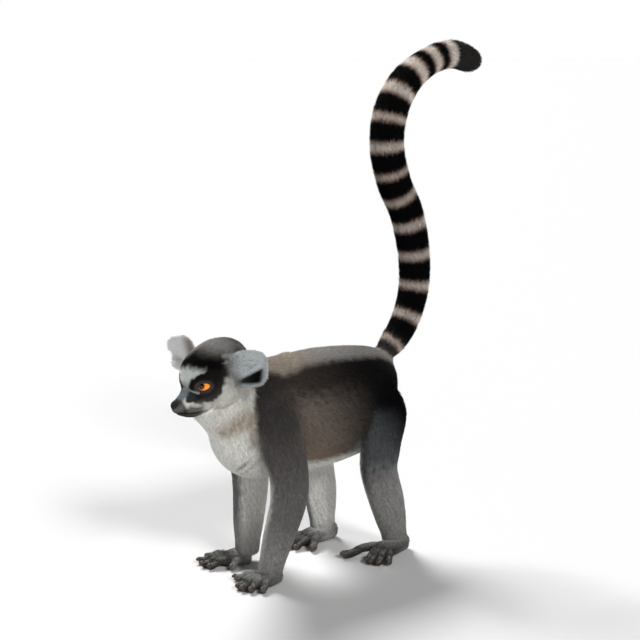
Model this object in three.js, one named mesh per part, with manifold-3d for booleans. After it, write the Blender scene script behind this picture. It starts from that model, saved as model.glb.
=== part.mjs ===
// A ring-tailed lemur standing on all fours, life-size, with its tail raised in an S.
// Millimetres, +Z up. The animal faces -Y and its left side is +X. Every solid reaches to the tips of the coat.
// The body is swept from rings of a superellipse carried along smooth curves. Each limb is one sweep that is
// parted at its joints, and the trunk, neck and head are parted the same way, with a thin gap at each parting.

import * as THREE from "three";
import { mergeVertices } from "three/addons/utils/BufferGeometryUtils.js";
import Module from "manifold-3d";

const wasm = await Module();
wasm.setup();

// ---------------------------------------------------------------- driving dimensions

const GAP = 0.3; // between neighbouring solids
const FLOOR_BITE = 0.8; // how deep the pads go below the floor before they are cut flat
const LATERAL = new THREE.Vector3(1, 0, 0);

// Trunk and neck: rings from the rump to the inside of the head, in the plane of symmetry.
// y, z of the ring's centre, half-width, height above and below the centre.
const TORSO = [
  { y: 38, z: 213, wide: 31, up: 46, down: 47 }, // rump
  { y: 8, z: 220, wide: 48, up: 75, down: 76 }, // hips
  { y: -36, z: 224, wide: 60, up: 82, down: 82 }, // loin
  { y: -92, z: 223, wide: 60, up: 88, down: 86 }, // belly
  { y: -146, z: 223, wide: 56, up: 88, down: 86 }, // chest
  { y: -190, z: 236, wide: 50, up: 84, down: 97 }, // shoulders
  { y: -218, z: 262, wide: 43, up: 68, down: 76 }, // base of the neck
  { y: -236, z: 288, wide: 37, up: 50, down: 78 }, // neck
  { y: -252, z: 310, wide: 30, up: 29, down: 62 }, // inside the head
];
const WITHERS = { at: [0, -172, 272], radii: [36, 48, 37] }; // fills the bend between back and neck
const NECK_BACK = { y: -205, z: 258, tilt: 44 }; // parting of trunk and neck, degrees from upright
const NECK_FRONT = { y: -236, z: 292, tilt: 30 }; // parting of neck and head

// Head: its own frame, turned to the animal's left and nodding down, about the middle of the braincase.
const HEAD = { at: [0, -250, 309], turn: 9, nod: 20, tilt: 6 }; // tilt raises the left side
// forward and upward place of the ring's centre, half-width, height above and below.
const SKULL = [
  { f: -35, u: 2, wide: 19, up: 17, down: 18 }, // back of the head
  { f: -20, u: 3, wide: 30, up: 28, down: 30 },
  { f: -2, u: 3, wide: 36, up: 37, down: 38 }, // crown
  { f: 20, u: 2, wide: 37, up: 40, down: 43 }, // cheeks
  { f: 38, u: -1, wide: 35, up: 38.5, down: 41 },
  { f: 52, u: -6, wide: 28, up: 30, down: 36 }, // between the eyes
  { f: 63, u: -11, wide: 19, up: 20.5, down: 29 }, // root of the muzzle
  { f: 76, u: -13.5, wide: 14.5, up: 17.5, down: 21 }, // lips
  { f: 89, u: -11, wide: 10.5, up: 13.5, down: 12 },
  { f: 99.5, u: -5, wide: 6.5, up: 6.5, down: 6 }, // nose
];
const CHEEK = { f: 28, u: -20, side: 23, radius: [18, 26, 22] }; // fluff below and behind each eye
const BROW = { f: 47, u: 11, side: 19, radius: [12, 12.5, 11.5] }; // ridge over each eye
const ORBIT = { f: 49.5, u: 0, side: 20, radius: [11.5, 13, 12.5] }; // dark lids round each eye
const EYE = { f: 52.5, u: 0, side: 18, radius: 9.6 };
const GAZE = { outward: 33, raised: 20 }; // degrees, the way each eye faces
const LIDS = { wide: 8.6, high: 5.4, deep: 10, ahead: 10 }; // opening between the lids, half-sizes

// Ears: a cupped leaf each. Root and tip in the head's frame, and the side that its hollow faces.
const EAR = { length: 48, half: 23.5, cup: 9, thick: 5 };
const EARS = {
  left: { root: [17, 8, 32], tip: [-9, -5, 77], hollow: [0.67, 0.5, 0.54] },
  right: { root: [17, 26, -30], tip: [22, 24, -75], hollow: [0.96, 0.27, -0.07] },
};

// Limbs: the path of each through shoulder or hip, and down to the wrist or ankle, x measured outwards.
const FORELIMB_PATHS = {
  left: [[40, -196, 258], [47, -196, 215], [50, -184, 165], [48, -182, 118], [42, -195, 64], [36, -207, 12]],
  right: [[-40, -196, 258], [-46, -194, 215], [-47, -182, 165], [-47, -179, 116], [-45, -184, 62], [-41, -190, 12]],
};
const FORELIMB_SIZE = [
  { wide: 17, up: 24, down: 26 }, // shoulder
  { wide: 24, up: 33, down: 32 },
  { wide: 22, up: 31, down: 32 }, // upper arm
  { wide: 20, up: 28, down: 30 }, // elbow
  { wide: 18, up: 24, down: 25 }, // forearm
  { wide: 14.5, up: 17, down: 17 }, // wrist
];
const HINDLIMB_PATHS = {
  left: [[38, -6, 250], [49, -2, 212], [55, -22, 168], [57, -27, 130], [57, -9, 74], [55, 9, 14]],
  right: [[-40, -6, 250], [-48, -22, 212], [-53, -48, 168], [-54, -57, 130], [-50, -50, 74], [-46, -48, 14]],
};
const HINDLIMB_SIZE = [
  { wide: 18, up: 30, down: 21 }, // hip
  { wide: 27, up: 42, down: 26 },
  { wide: 25, up: 37, down: 33 }, // thigh
  { wide: 22, up: 30, down: 31 }, // knee
  { wide: 19, up: 28, down: 28 }, // shank
  { wide: 14.5, up: 19, down: 19 }, // ankle
];
const SLEEVE = 5; // how far a limb's share of the trunk reaches round the limb
const JOINT_AT = 0.6; // the elbow or knee, as a share of the limb's path
const CUFF_HEIGHT = 28; // where hands and feet part from the limbs

// Hands and feet: the heel of the palm or sole, the knuckle line and the direction the fingers point,
// turned outwards by `splay` degrees. Fingers are listed from the thumb or great toe outwards.
const HAND = { palmLength: 30, palmWide: 15, palmThick: 8.5 };
const FOOT = { palmLength: 50, palmWide: 15.5, palmThick: 10 };
// along: where it leaves the palm; across: outward; angle: outward turn; length; radius
const FINGERS_LEFT = [
  { along: 13, across: -12, angle: -45, length: 40, radius: 5.0 },
  { along: 28, across: -13, angle: 1, length: 29, radius: 5.1 },
  { along: 28, across: -7, angle: 8, length: 29, radius: 5.2 },
  { along: 25, across: 0.5, angle: 17, length: 27, radius: 5.2 },
  { along: 19, across: 7.5, angle: 34, length: 25, radius: 5.0 },
];
const FINGERS_RIGHT = [
  { along: 11, across: -11, angle: -50, length: 21, radius: 5.0 },
  { along: 27, across: -10, angle: -15, length: 29, radius: 5.0 },
  { along: 29, across: -4, angle: -6, length: 36, radius: 5.1 },
  { along: 28, across: 3.5, angle: 5, length: 40, radius: 5.1 },
  { along: 24, across: 10, angle: 20, length: 33, radius: 4.9 },
];
const TOES_LEFT = [
  { along: 36, across: -12, angle: -27, length: 60, radius: 6.0 },
  { along: 46, across: -9, angle: 12, length: 35, radius: 5.0 },
  { along: 47, across: -2.5, angle: 14, length: 35, radius: 5.1 },
  { along: 45, across: 5, angle: 21, length: 34, radius: 5.1 },
  { along: 40, across: 11.5, angle: 31, length: 30, radius: 4.9 },
];
const TOES_RIGHT = [
  { along: 34, across: -11, angle: -43, length: 33, radius: 5.8 },
  { along: 47, across: -10, angle: -8, length: 29, radius: 4.9 },
  { along: 49, across: -3, angle: 2, length: 32, radius: 5.0 },
  { along: 47, across: 4, angle: 12, length: 32, radius: 5.0 },
  { along: 42, across: 10.5, angle: 25, length: 28, radius: 4.8 },
];
const PAWS = {
  hand_left: { heel: [38, -197], splay: 3, side: 1, digits: FINGERS_LEFT },
  hand_right: { heel: [-42, -191], splay: 28, side: -1, digits: FINGERS_RIGHT },
  foot_left: { heel: [56, 20], splay: 10, side: 1, digits: TOES_LEFT },
  foot_right: { heel: [-43, -34], splay: 3, side: -1, digits: TOES_RIGHT },
};

// Tail: its centreline in the plane of symmetry, y, z and radius, from inside the rump to the tip.
const TAIL = [
  [4, 262, 16], [32, 286, 19.5], [64, 319, 22], [84, 366, 23.5], [86, 420, 24.8], [71, 483, 25.8], [45, 533, 26],
  [31, 583, 26], [37, 632, 26], [64, 674, 24.2], [106, 701, 21.6], [150, 712, 22], [186, 705, 20], [208, 697, 13],
];
const TAIL_PARTINGS = [0.28, 0.5, 0.7, 0.86]; // shares of the tail's path
const TAIL_NAMES = ["tail_root", "tail_lower", "tail_middle", "tail_upper", "tail_tip"];

// ---------------------------------------------------------------- curves and sweeps

// Catmull-Rom interpolation of rows of numbers; t runs from 0 to 1 over the whole list.
function along(rows, t) {
  const last = rows.length - 1;
  const place = Math.min(Math.max(t, 0), 1) * last;
  const i = Math.min(Math.floor(place), last - 1);
  const s = place - i;
  const pick = (k) => rows[Math.min(Math.max(k, 0), last)];
  const [a, b, c, d] = [pick(i - 1), pick(i), pick(i + 1), pick(i + 2)];
  return b.map(
    (value, n) =>
      value +
      0.5 * s * (c[n] - a[n] + s * (2 * a[n] - 5 * value + 4 * c[n] - d[n] + s * (3 * (value - c[n]) + d[n] - a[n]))),
  );
}

// Where the rings of a sweep stand: close together over the two rounded ends, even between them.
function ringPlaces(steps, caps, capRings) {
  const round = (k) => 1 - Math.cos((k / capRings) * (Math.PI / 2));
  const places = [];
  for (let k = 1; k < capRings; k++) if (caps[0] > 0) places.push(caps[0] * round(k));
  for (let k = 0; k <= steps; k++) places.push(caps[0] + ((1 - caps[0] - caps[1]) * k) / steps);
  for (let k = capRings - 1; k > 0; k--) if (caps[1] > 0) places.push(1 - caps[1] * round(k));
  return places;
}

// How much of its full size a ring has at t, so that the ends close as quarter ellipses.
function capShare(t, caps) {
  const end = (distance, cap) => (cap > 0 && distance < cap ? Math.sqrt(1 - (1 - distance / cap) ** 2) : 1);
  return end(t, caps[0]) * end(1 - t, caps[1]);
}

// A closed solid swept through rows of x, y, z, half-width, height above and height below the path.
// The rings are superellipses of the given power; `grow` thickens them all.
function sweep(rows, { sides, steps, caps, power = 2.2, lateral = LATERAL, grow = 0 }) {
  const positions = [];
  const places = ringPlaces(steps, caps, 2);
  const point = (t) => new THREE.Vector3(...along(rows, t));
  for (const t of places) {
    const [x, y, z, wide, up, down] = along(rows, t);
    const ahead = point(t + 0.01).sub(point(t - 0.01)).normalize();
    const side = lateral.clone().addScaledVector(ahead, -lateral.dot(ahead)).normalize();
    const above = ahead.clone().cross(side);
    const share = capShare(t, caps);
    for (let j = 0; j < sides; j++) {
      const angle = (j / sides) * 2 * Math.PI;
      const [c, s] = [Math.cos(angle), Math.sin(angle)];
      const across = Math.sign(c) * Math.abs(c) ** (2 / power) * (wide + grow) * share;
      const raised = Math.sign(s) * Math.abs(s) ** (2 / power) * ((s > 0 ? up : down) + grow) * share;
      positions.push(x + side.x * across + above.x * raised);
      positions.push(y + side.y * across + above.y * raised);
      positions.push(z + side.z * across + above.z * raised);
    }
  }
  const startPole = positions.length / 3;
  positions.push(...point(0).toArray(), ...point(1).toArray());
  const index = [];
  for (let i = 0; i < places.length - 1; i++)
    for (let j = 0; j < sides; j++) {
      const [a, b] = [i * sides + j, i * sides + ((j + 1) % sides)];
      index.push(a, b, a + sides, b, b + sides, a + sides);
    }
  const lastRing = (places.length - 1) * sides;
  for (let j = 0; j < sides; j++) {
    const next = (j + 1) % sides;
    index.push(startPole, next, j, startPole + 1, lastRing + j, lastRing + next);
  }
  const geometry = new THREE.BufferGeometry();
  geometry.setAttribute("position", new THREE.Float32BufferAttribute(positions, 3));
  geometry.setIndex(index);
  return solid(geometry);
}

// An ellipsoid at a point, with its three radii along the axes of a frame.
function ellipsoid(at, radii, axes = new THREE.Matrix4(), detail = [9, 6]) {
  const matrix = new THREE.Matrix4().makeTranslation(at).multiply(axes);
  matrix.multiply(new THREE.Matrix4().makeScale(...radii));
  return solid(new THREE.SphereGeometry(1, ...detail).applyMatrix4(matrix));
}

// ---------------------------------------------------------------- joining and cutting

function solid(geometry) {
  geometry.deleteAttribute("normal");
  geometry.deleteAttribute("uv");
  const merged = mergeVertices(geometry, 1e-3);
  const vertProperties = merged.attributes.position.array;
  return new wasm.Manifold(
    new wasm.Mesh({ numProp: 3, vertProperties, triVerts: new Uint32Array(merged.index.array) }),
  );
}

const joined = (parts) => parts.reduce((all, part) => all.add(part));

// Parts a solid by a plane: the half that the normal points to, then the other, with the gap between them.
function parted(body, point, normal) {
  const n = normal.clone().normalize();
  const offset = n.dot(point);
  return [
    body.trimByPlane(n.toArray(), offset + GAP / 2),
    body.trimByPlane(n.clone().negate().toArray(), -offset + GAP / 2),
  ];
}

// The largest piece of a solid that a cut may have left in several.
function mainPiece(body) {
  const pieces = body.decompose();
  return pieces.reduce((best, piece) => (piece.volume() > best.volume() ? piece : best));
}

// ---------------------------------------------------------------- trunk and neck

const torsoRows = TORSO.map((s) => [0, s.y, s.z, s.wide, s.up, s.down]);

function torso(grow = 0) {
  const length = sweep(torsoRows, { sides: 17, steps: 11, caps: [0.11, 0.05], grow });
  const withers = ellipsoid(
    new THREE.Vector3(...WITHERS.at),
    WITHERS.radii.map((r) => r + grow),
  );
  return joined([length, withers]);
}

// The forward normal of a parting of the neck.
function neckNormal(tilt) {
  const angle = THREE.MathUtils.degToRad(tilt);
  return new THREE.Vector3(0, -Math.cos(angle), Math.sin(angle));
}

// ---------------------------------------------------------------- head

const headAxes = (() => {
  const [turn, nod, tilt] = [HEAD.turn, HEAD.nod, HEAD.tilt].map(THREE.MathUtils.degToRad);
  const forward = new THREE.Vector3(
    Math.sin(turn) * Math.cos(nod),
    -Math.cos(turn) * Math.cos(nod),
    -Math.sin(nod),
  );
  const level = new THREE.Vector3(Math.cos(turn), Math.sin(turn), 0);
  const left = level.applyAxisAngle(forward, tilt);
  return { forward, left, up: forward.clone().cross(left) };
})();

// A point of the head's frame: forward, up and to the left, from the middle of the braincase.
function headPoint(f, u, side = 0) {
  return new THREE.Vector3(...HEAD.at)
    .addScaledVector(headAxes.forward, f)
    .addScaledVector(headAxes.up, u)
    .addScaledVector(headAxes.left, side);
}

const headMatrix = new THREE.Matrix4().makeBasis(headAxes.left, headAxes.forward.clone().negate(), headAxes.up);

function headBlob({ f, u, side, radius }, sign, grow = 0) {
  const radii = [radius[0], radius[1], radius[2]].map((r) => r + grow);
  return ellipsoid(headPoint(f, u, side * sign), radii, headMatrix);
}

function skull(grow = 0) {
  const rows = SKULL.map((s) => [...headPoint(s.f, s.u).toArray(), s.wide, s.up, s.down]);
  const shell = sweep(rows, { sides: 13, steps: 10, caps: [0.12, 0.06], lateral: headAxes.left, grow });
  const blobs = [-1, 1].flatMap((sign) => [CHEEK, BROW, ORBIT].map((blob) => headBlob(blob, sign, grow)));
  return joined([shell, ...blobs]);
}

function eyeball(sign, grow = 0) {
  const radius = EYE.radius + grow;
  return ellipsoid(headPoint(EYE.f, EYE.u, EYE.side * sign), [radius, radius, radius], headMatrix);
}

// The opening between the lids: an ellipsoid set ahead of the eyeball on its line of gaze.
function lidOpening(sign) {
  const [outward, raised] = [GAZE.outward * sign, GAZE.raised].map(THREE.MathUtils.degToRad);
  const gaze = new THREE.Vector3()
    .addScaledVector(headAxes.forward, Math.cos(outward) * Math.cos(raised))
    .addScaledVector(headAxes.left, Math.sin(outward) * Math.cos(raised))
    .addScaledVector(headAxes.up, Math.sin(raised));
  const level = headAxes.up.clone().cross(gaze).normalize();
  const axes = new THREE.Matrix4().makeBasis(level, gaze.clone().cross(level), gaze);
  const at = headPoint(EYE.f, EYE.u, EYE.side * sign).addScaledVector(gaze, LIDS.ahead);
  return ellipsoid(at, [LIDS.wide, LIDS.high, LIDS.deep], axes);
}

// A cupped leaf: half as wide as `half` where it is fullest, hollow on the side that `hollow` names.
// u runs across it from -1 to 1 and v from root to tip; its two faces are `thick` apart in the middle.
function ear({ root, tip, hollow }) {
  const start = headPoint(...root);
  const axis = headPoint(...tip).sub(start).normalize();
  const facing = new THREE.Vector3()
    .addScaledVector(headAxes.forward, hollow[0])
    .addScaledVector(headAxes.up, hollow[1])
    .addScaledVector(headAxes.left, hollow[2]);
  facing.addScaledVector(axis, -facing.dot(axis)).normalize();
  const across = axis.clone().cross(facing);
  const [columns, rows] = [6, 6];
  const face = (front) => (u, v) => {
    const wide = EAR.half * (1 - Math.abs((v - 0.48) / 0.54) ** 3.2) ** 0.31;
    const rim = Math.max(1 - u * u, 0);
    const thick = EAR.thick * (0.35 + 0.65 * Math.sqrt(rim)) * (v > 0.9 ? 0.6 : 1);
    const dish = EAR.cup * (u * u - 1) * (1 - 0.45 * v);
    return start
      .clone()
      .addScaledVector(axis, EAR.length * v)
      .addScaledVector(across, wide * u)
      .addScaledVector(facing, dish + (front ? thick / 2 : -thick / 2));
  };
  const positions = [];
  for (const front of [true, false])
    for (let i = 0; i <= rows; i++)
      for (let j = 0; j <= columns; j++)
        positions.push(...face(front)((j / columns) * 2 - 1, i / rows).toArray());
  const at = (front, i, j) => (front ? 0 : (rows + 1) * (columns + 1)) + i * (columns + 1) + j;
  const index = [];
  const quad = (a, b, c, d) => index.push(a, b, c, a, c, d);
  for (let i = 0; i < rows; i++)
    for (let j = 0; j < columns; j++) {
      quad(at(true, i, j), at(true, i, j + 1), at(true, i + 1, j + 1), at(true, i + 1, j));
      quad(at(false, i, j), at(false, i + 1, j), at(false, i + 1, j + 1), at(false, i, j + 1));
    }
  for (let i = 0; i < rows; i++) {
    quad(at(true, i, 0), at(true, i + 1, 0), at(false, i + 1, 0), at(false, i, 0));
    quad(at(true, i + 1, columns), at(true, i, columns), at(false, i, columns), at(false, i + 1, columns));
  }
  for (let j = 0; j < columns; j++) {
    quad(at(true, 0, j + 1), at(true, 0, j), at(false, 0, j), at(false, 0, j + 1));
    quad(at(true, rows, j), at(true, rows, j + 1), at(false, rows, j + 1), at(false, rows, j));
  }
  const geometry = new THREE.BufferGeometry();
  geometry.setAttribute("position", new THREE.Float32BufferAttribute(positions, 3));
  geometry.setIndex(index);
  return solid(geometry);
}

// ---------------------------------------------------------------- limbs

const limbRows = (path, sizes) => path.map((p, i) => [...p, sizes[i].wide, sizes[i].up, sizes[i].down]);

function limb(path, sizes, grow = 0) {
  return sweep(limbRows(path, sizes), { sides: 12, steps: 7, caps: [0.1, 0.04], grow });
}

// Splits a limb at its middle joint and at the cuff: upper length, lower length and the stub above the paw.
function limbPieces(path, sizes) {
  const rows = limbRows(path, sizes);
  const joint = new THREE.Vector3(...along(rows, JOINT_AT));
  const downward = new THREE.Vector3(...along(rows, JOINT_AT + 0.02)).sub(joint);
  const whole = limb(path, sizes);
  const [below, upper] = parted(whole, joint, downward);
  const [stub, lower] = parted(below, new THREE.Vector3(0, 0, CUFF_HEIGHT), new THREE.Vector3(0, 0, -1));
  return { upper, lower, stub };
}

// ---------------------------------------------------------------- hands and feet

// A finger or toe: it rises to a knuckle, then bends down to a rounded pad on the floor.
function digit(start, heading, length, radius) {
  const rise = radius * 1.5;
  const reach = (share, height, size) => [
    start[0] + heading[0] * length * share,
    start[1] + heading[1] * length * share,
    height,
    radius * size,
    radius * size,
    radius * size,
  ];
  const rows = [
    reach(-0.2, rise + 2, 1),
    reach(0.15, rise + 3.2, 1.02),
    reach(0.46, rise + 2.8, 1),
    reach(0.72, radius + 1.2, 0.95),
    reach(0.88, radius - FLOOR_BITE, 1.02),
    reach(1, radius - FLOOR_BITE, 0.9),
  ];
  const lateral = new THREE.Vector3(-heading[1], heading[0], 0);
  return sweep(rows, { sides: 6, steps: 3, caps: [0, 0.14], power: 2, lateral });
}

// A hand or foot: a flat palm from its heel to the knuckles, and five digits.
function paw({ heel, splay, side, digits }, { palmLength, palmWide, palmThick }) {
  const turned = (degrees) => {
    const angle = THREE.MathUtils.degToRad(degrees) * side;
    return [Math.sin(angle), -Math.cos(angle)];
  };
  const forward = turned(splay);
  const outward = [-forward[1] * side, forward[0] * side];
  const place = (ahead, across) => [
    heel[0] + forward[0] * ahead + outward[0] * across,
    heel[1] + forward[1] * ahead + outward[1] * across,
  ];
  const palmRow = (ahead, z, wide, up) => [...place(ahead, 0), z, wide, up, z + FLOOR_BITE];
  const rows = [
    palmRow(-8, palmThick, palmWide * 0.72, palmThick + 5),
    palmRow(palmLength * 0.25, palmThick, palmWide * 0.92, palmThick + 7),
    palmRow(palmLength * 0.65, palmThick * 0.9, palmWide, palmThick + 4),
    palmRow(palmLength, palmThick * 0.8, palmWide * 0.98, palmThick * 0.85),
    palmRow(palmLength + 7, palmThick * 0.7, palmWide * 0.8, palmThick * 0.45),
  ];
  const lateral = new THREE.Vector3(-forward[1], forward[0], 0);
  const palm = sweep(rows, { sides: 10, steps: 4, caps: [0.12, 0.1], power: 2.4, lateral });
  const fingers = digits.map((d) => digit(place(d.along, d.across), turned(splay + d.angle), d.length, d.radius));
  return joined([palm, ...fingers]);
}

// ---------------------------------------------------------------- tail

const tailRows = TAIL.map(([y, z, radius]) => [0, y, z, radius, radius, radius]);

// The tail in lengths, from the rump to the tip.
function tailPieces() {
  const pieces = [];
  let rest = sweep(tailRows, { sides: 12, steps: 28, caps: [0.03, 0.05], power: 2 });
  for (const share of TAIL_PARTINGS) {
    const at = new THREE.Vector3(...along(tailRows, share));
    const ahead = new THREE.Vector3(...along(tailRows, share + 0.01)).sub(at);
    const [beyond, before] = parted(rest, at, ahead);
    pieces.push(before);
    rest = beyond;
  }
  return [...pieces, rest];
}

// ---------------------------------------------------------------- the whole animal

const COLOURS = {
  back: 0x6d655d,
  pale: 0xcfcac0,
  grey: 0x77736f,
  dark: 0x35312e,
  skin: 0x3a3735,
  ring: 0x4a4644,
  amber: 0xe07b12,
};
const FINISHES = Object.fromEntries(
  Object.entries(COLOURS).map(([name, color]) => [
    name,
    new THREE.MeshStandardMaterial({ color, metalness: 0, roughness: name === "amber" ? 0.15 : 0.85 }),
  ]),
);

const animal = new THREE.Group();

function place(name, body, finish) {
  const { vertProperties, triVerts } = mainPiece(body).getMesh();
  const geometry = new THREE.BufferGeometry();
  geometry.setAttribute("position", new THREE.BufferAttribute(vertProperties, 3));
  geometry.setIndex(new THREE.BufferAttribute(triVerts, 1));
  geometry.computeVertexNormals();
  const mesh = new THREE.Mesh(geometry, FINISHES[finish]);
  mesh.name = name;
  animal.add(mesh);
}

const aboveFloor = (body) => body.trimByPlane([0, 0, 1], 0);
const neckBackPoint = new THREE.Vector3(0, NECK_BACK.y, NECK_BACK.z);
const neckFrontPoint = new THREE.Vector3(0, NECK_FRONT.y, NECK_FRONT.z);

// Head, neck and trunk
const [frontOfTrunk, trunkWhole] = parted(torso(), neckBackPoint, neckNormal(NECK_BACK.tilt));
const [headEnd, neckLength] = parted(frontOfTrunk, neckFrontPoint, neckNormal(NECK_FRONT.tilt));
const [skullFront] = parted(skull(), neckFrontPoint, neckNormal(NECK_FRONT.tilt));
const eyeSockets = joined([-1, 1].flatMap((sign) => [eyeball(sign, GAP), lidOpening(sign)]));
place("head", joined([skullFront, headEnd]).subtract(eyeSockets), "pale");
place("neck", neckLength, "grey");
for (const [name, sign] of [["eye_left", 1], ["eye_right", -1]]) place(name, eyeball(sign), "amber");
for (const side of ["left", "right"]) place(`ear_${side}`, ear(EARS[side]).subtract(skull(GAP)), "pale");

// Limbs: the upper length of each takes its share of the trunk
const forelimb = { upper: "upper_arm", lower: "forearm", paw: "hand", paths: FORELIMB_PATHS, sizes: FORELIMB_SIZE };
const hindlimb = { upper: "thigh", lower: "shank", paw: "foot", paths: HINDLIMB_PATHS, sizes: HINDLIMB_SIZE };
const limbKinds = [
  { ...forelimb, palm: HAND },
  { ...hindlimb, palm: FOOT },
];
let trunk = trunkWhole;
for (const kind of limbKinds)
  for (const side of ["left", "right"]) {
    const path = kind.paths[side];
    const { upper, lower, stub } = limbPieces(path, kind.sizes);
    const share = joined([trunkWhole.intersect(limb(path, kind.sizes, SLEEVE)), upper]);
    const pawName = `${kind.paw}_${side}`;
    trunk = trunk.subtract(limb(path, kind.sizes, SLEEVE + GAP));
    place(`${kind.upper}_${side}`, share.subtract(frontOfTrunk), "grey");
    place(`${kind.lower}_${side}`, lower, "grey");
    const cuff = paw(PAWS[pawName], kind.palm);
    const [, belowCuff] = parted(cuff, new THREE.Vector3(0, 0, CUFF_HEIGHT), new THREE.Vector3(0, 0, 1));
    place(pawName, aboveFloor(joined([stub, belowCuff])), "skin");
  }
place("trunk", trunk, "back");

// Tail
tailPieces().forEach((piece, i) => place(TAIL_NAMES[i], i === 0 ? piece.subtract(torso(GAP)) : piece, "ring"));

// The frame's origin is on the floor, under the middle of the whole animal.
const box = new THREE.Box3().setFromObject(animal);
const middle = box.getCenter(new THREE.Vector3());
animal.position.set(-middle.x, -middle.y, 0);

export default animal;
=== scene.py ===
"""A ring-tailed lemur standing on all fours: one skin, its coat in tufts, eyes, nails and a small studio.

Shapes are worked out in millimetres in the animal's own frame (it faces -Y, its left is +X, its plane of
symmetry is x = 0) and are moved into the model's frame, in metres, when they become meshes.
"""

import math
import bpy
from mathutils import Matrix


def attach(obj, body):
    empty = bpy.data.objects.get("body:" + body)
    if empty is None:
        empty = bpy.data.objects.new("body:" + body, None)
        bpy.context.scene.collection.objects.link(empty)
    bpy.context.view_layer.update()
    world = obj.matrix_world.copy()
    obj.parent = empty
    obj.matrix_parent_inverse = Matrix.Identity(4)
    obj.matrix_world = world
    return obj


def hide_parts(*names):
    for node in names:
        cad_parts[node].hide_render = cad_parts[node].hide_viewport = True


bl_info = {
    "name": "Ring-tailed lemur",
    "version": (1, 0, 0),
    "blender": (4, 5, 0),
    "location": "View3D > Sidebar > Lemur",
    "description": "Builds a life-size ring-tailed lemur: skin, coat in tufts, eyes, nails and a studio",
    "category": "Object",
}

import bpy
import numpy as np
from bpy.props import FloatProperty, FloatVectorProperty, IntProperty, PointerProperty
from mathutils import Vector

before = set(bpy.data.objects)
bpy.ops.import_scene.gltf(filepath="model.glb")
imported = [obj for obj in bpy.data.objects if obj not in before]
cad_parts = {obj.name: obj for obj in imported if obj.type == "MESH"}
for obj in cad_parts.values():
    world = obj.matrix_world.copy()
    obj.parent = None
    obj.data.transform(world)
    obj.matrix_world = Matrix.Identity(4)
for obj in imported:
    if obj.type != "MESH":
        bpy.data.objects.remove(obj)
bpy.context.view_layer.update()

# ---------------------------------------------------------------- sizes of the animal, in millimetres

SIDES = ("left", "right")
SHIFT = np.array([-3.876, 65.719, 0.0])  # from the animal's own frame to the model's
X_AXIS = np.array([1.0, 0.0, 0.0])

# Rings of a sweep: y, z, half-width, height above, height below, depth of the coat there.
TORSO = np.array([
    (38, 213, 31, 46, 47, 4.5),  # rump
    (8, 220, 48, 75, 76, 4.5),  # hips
    (-36, 224, 60, 82, 82, 4.5),  # loin
    (-92, 223, 60, 88, 86, 4.5),  # belly
    (-146, 223, 56, 88, 86, 4.5),  # chest
    (-190, 236, 50, 84, 97, 4.5),  # shoulders
    (-218, 262, 43, 68, 76, 4),  # base of the neck
    (-236, 288, 37, 50, 78, 4),  # neck
    (-252, 310, 30, 29, 62, 4),  # inside the head
], float)

WITHERS_AT, WITHERS_RADII = (0, -168, 270), (32, 54, 36.5)  # fills the bend between back and neck

HEAD_AT = np.array([0.0, -250.0, 309.0])
HEAD_TURN, HEAD_NOD, HEAD_TILT = np.radians([9.0, 20.0, 6.0])
# The skull's rings in the head's frame: forward, up, half-width, height above, height below, coat.
SKULL = np.array([
    (-35, 2, 19, 17, 18, 3),  # back of the head
    (-20, 3, 30, 28, 30, 2.8),
    (-2, 3, 36, 37, 38, 2.4),  # crown
    (20, 2, 37, 40, 43, 2.4),  # cheeks
    (38, -1, 35, 38.5, 41, 2.0),
    (52, -6, 28, 30, 36, 1.5),  # between the eyes
    (63, -11, 19, 20.5, 29, 1.0),  # root of the muzzle
    (76, -13.5, 14.5, 17.5, 21, 0.8),  # lips
    (89, -11, 10.5, 13.5, 12, 0.6),
    (99.5, -5, 6.5, 6.5, 6, 0.4),  # nose
], float)

EYE_RADIUS = 9.6
EYE = np.array([52.5, 0.0, 18.0])  # forward, up, to the side
LID_FACING = np.radians([33.0, 20.0])  # outwards and upwards
GAZE = np.radians([20.0, 30.0])
LID_HALF = np.array([8.4, 4.5])  # half-width and half-height of the opening between the lids

# Ears: root, tip and the way the hollow faces, each as forward, up and left in the head's frame.
EAR_LENGTH, EAR_HALF, EAR_CUP, EAR_THICK = 48.5, 24.3, 10.5, 3.6
EARS = {
    "left": np.array([(17, 8, 32), (-9, -5, 77), (0.67, 0.5, 0.54)]),
    "right": np.array([(17, 26, -30), (22, 24, -75), (0.96, 0.27, -0.07)]),
}

# Limbs: points x, y, z from shoulder or hip to wrist or ankle
LIMB_PATHS = {
    "arm_left": [
        (40, -196, 258), (47, -196, 215), (50, -184, 165), (48, -182, 118), (42, -195, 64), (36, -207, 12),
    ],
    "arm_right": [
        (-40, -196, 258), (-46, -194, 215), (-47, -182, 165), (-47, -179, 116), (-45, -184, 62),
        (-41, -190, 12),
    ],
    "leg_left": [(38, -6, 250), (49, -2, 212), (55, -22, 168), (57, -27, 130), (57, -9, 74), (55, 9, 14)],
    "leg_right": [
        (-40, -6, 250), (-48, -22, 212), (-53, -48, 168), (-54, -57, 130), (-50, -50, 74), (-46, -48, 14),
    ],
}
# at each of those points: half-width, height in front, height behind, depth of the coat
LIMB_SIZES = {
    "arm": np.array([
        (17, 24, 26, 4.5), (24, 33, 32, 4.2), (22, 31, 32, 3.6), (20, 28, 30, 3), (18, 24, 25, 2.4),
        (14.5, 17, 17, 1.2),
    ]),
    "leg": np.array([
        (18, 30, 21, 4.5), (27, 42, 26, 4.5), (25, 37, 33, 4), (22, 30, 31, 3.2), (19, 28, 28, 2.4),
        (14.5, 19, 19, 1.2),
    ]),
}

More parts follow.
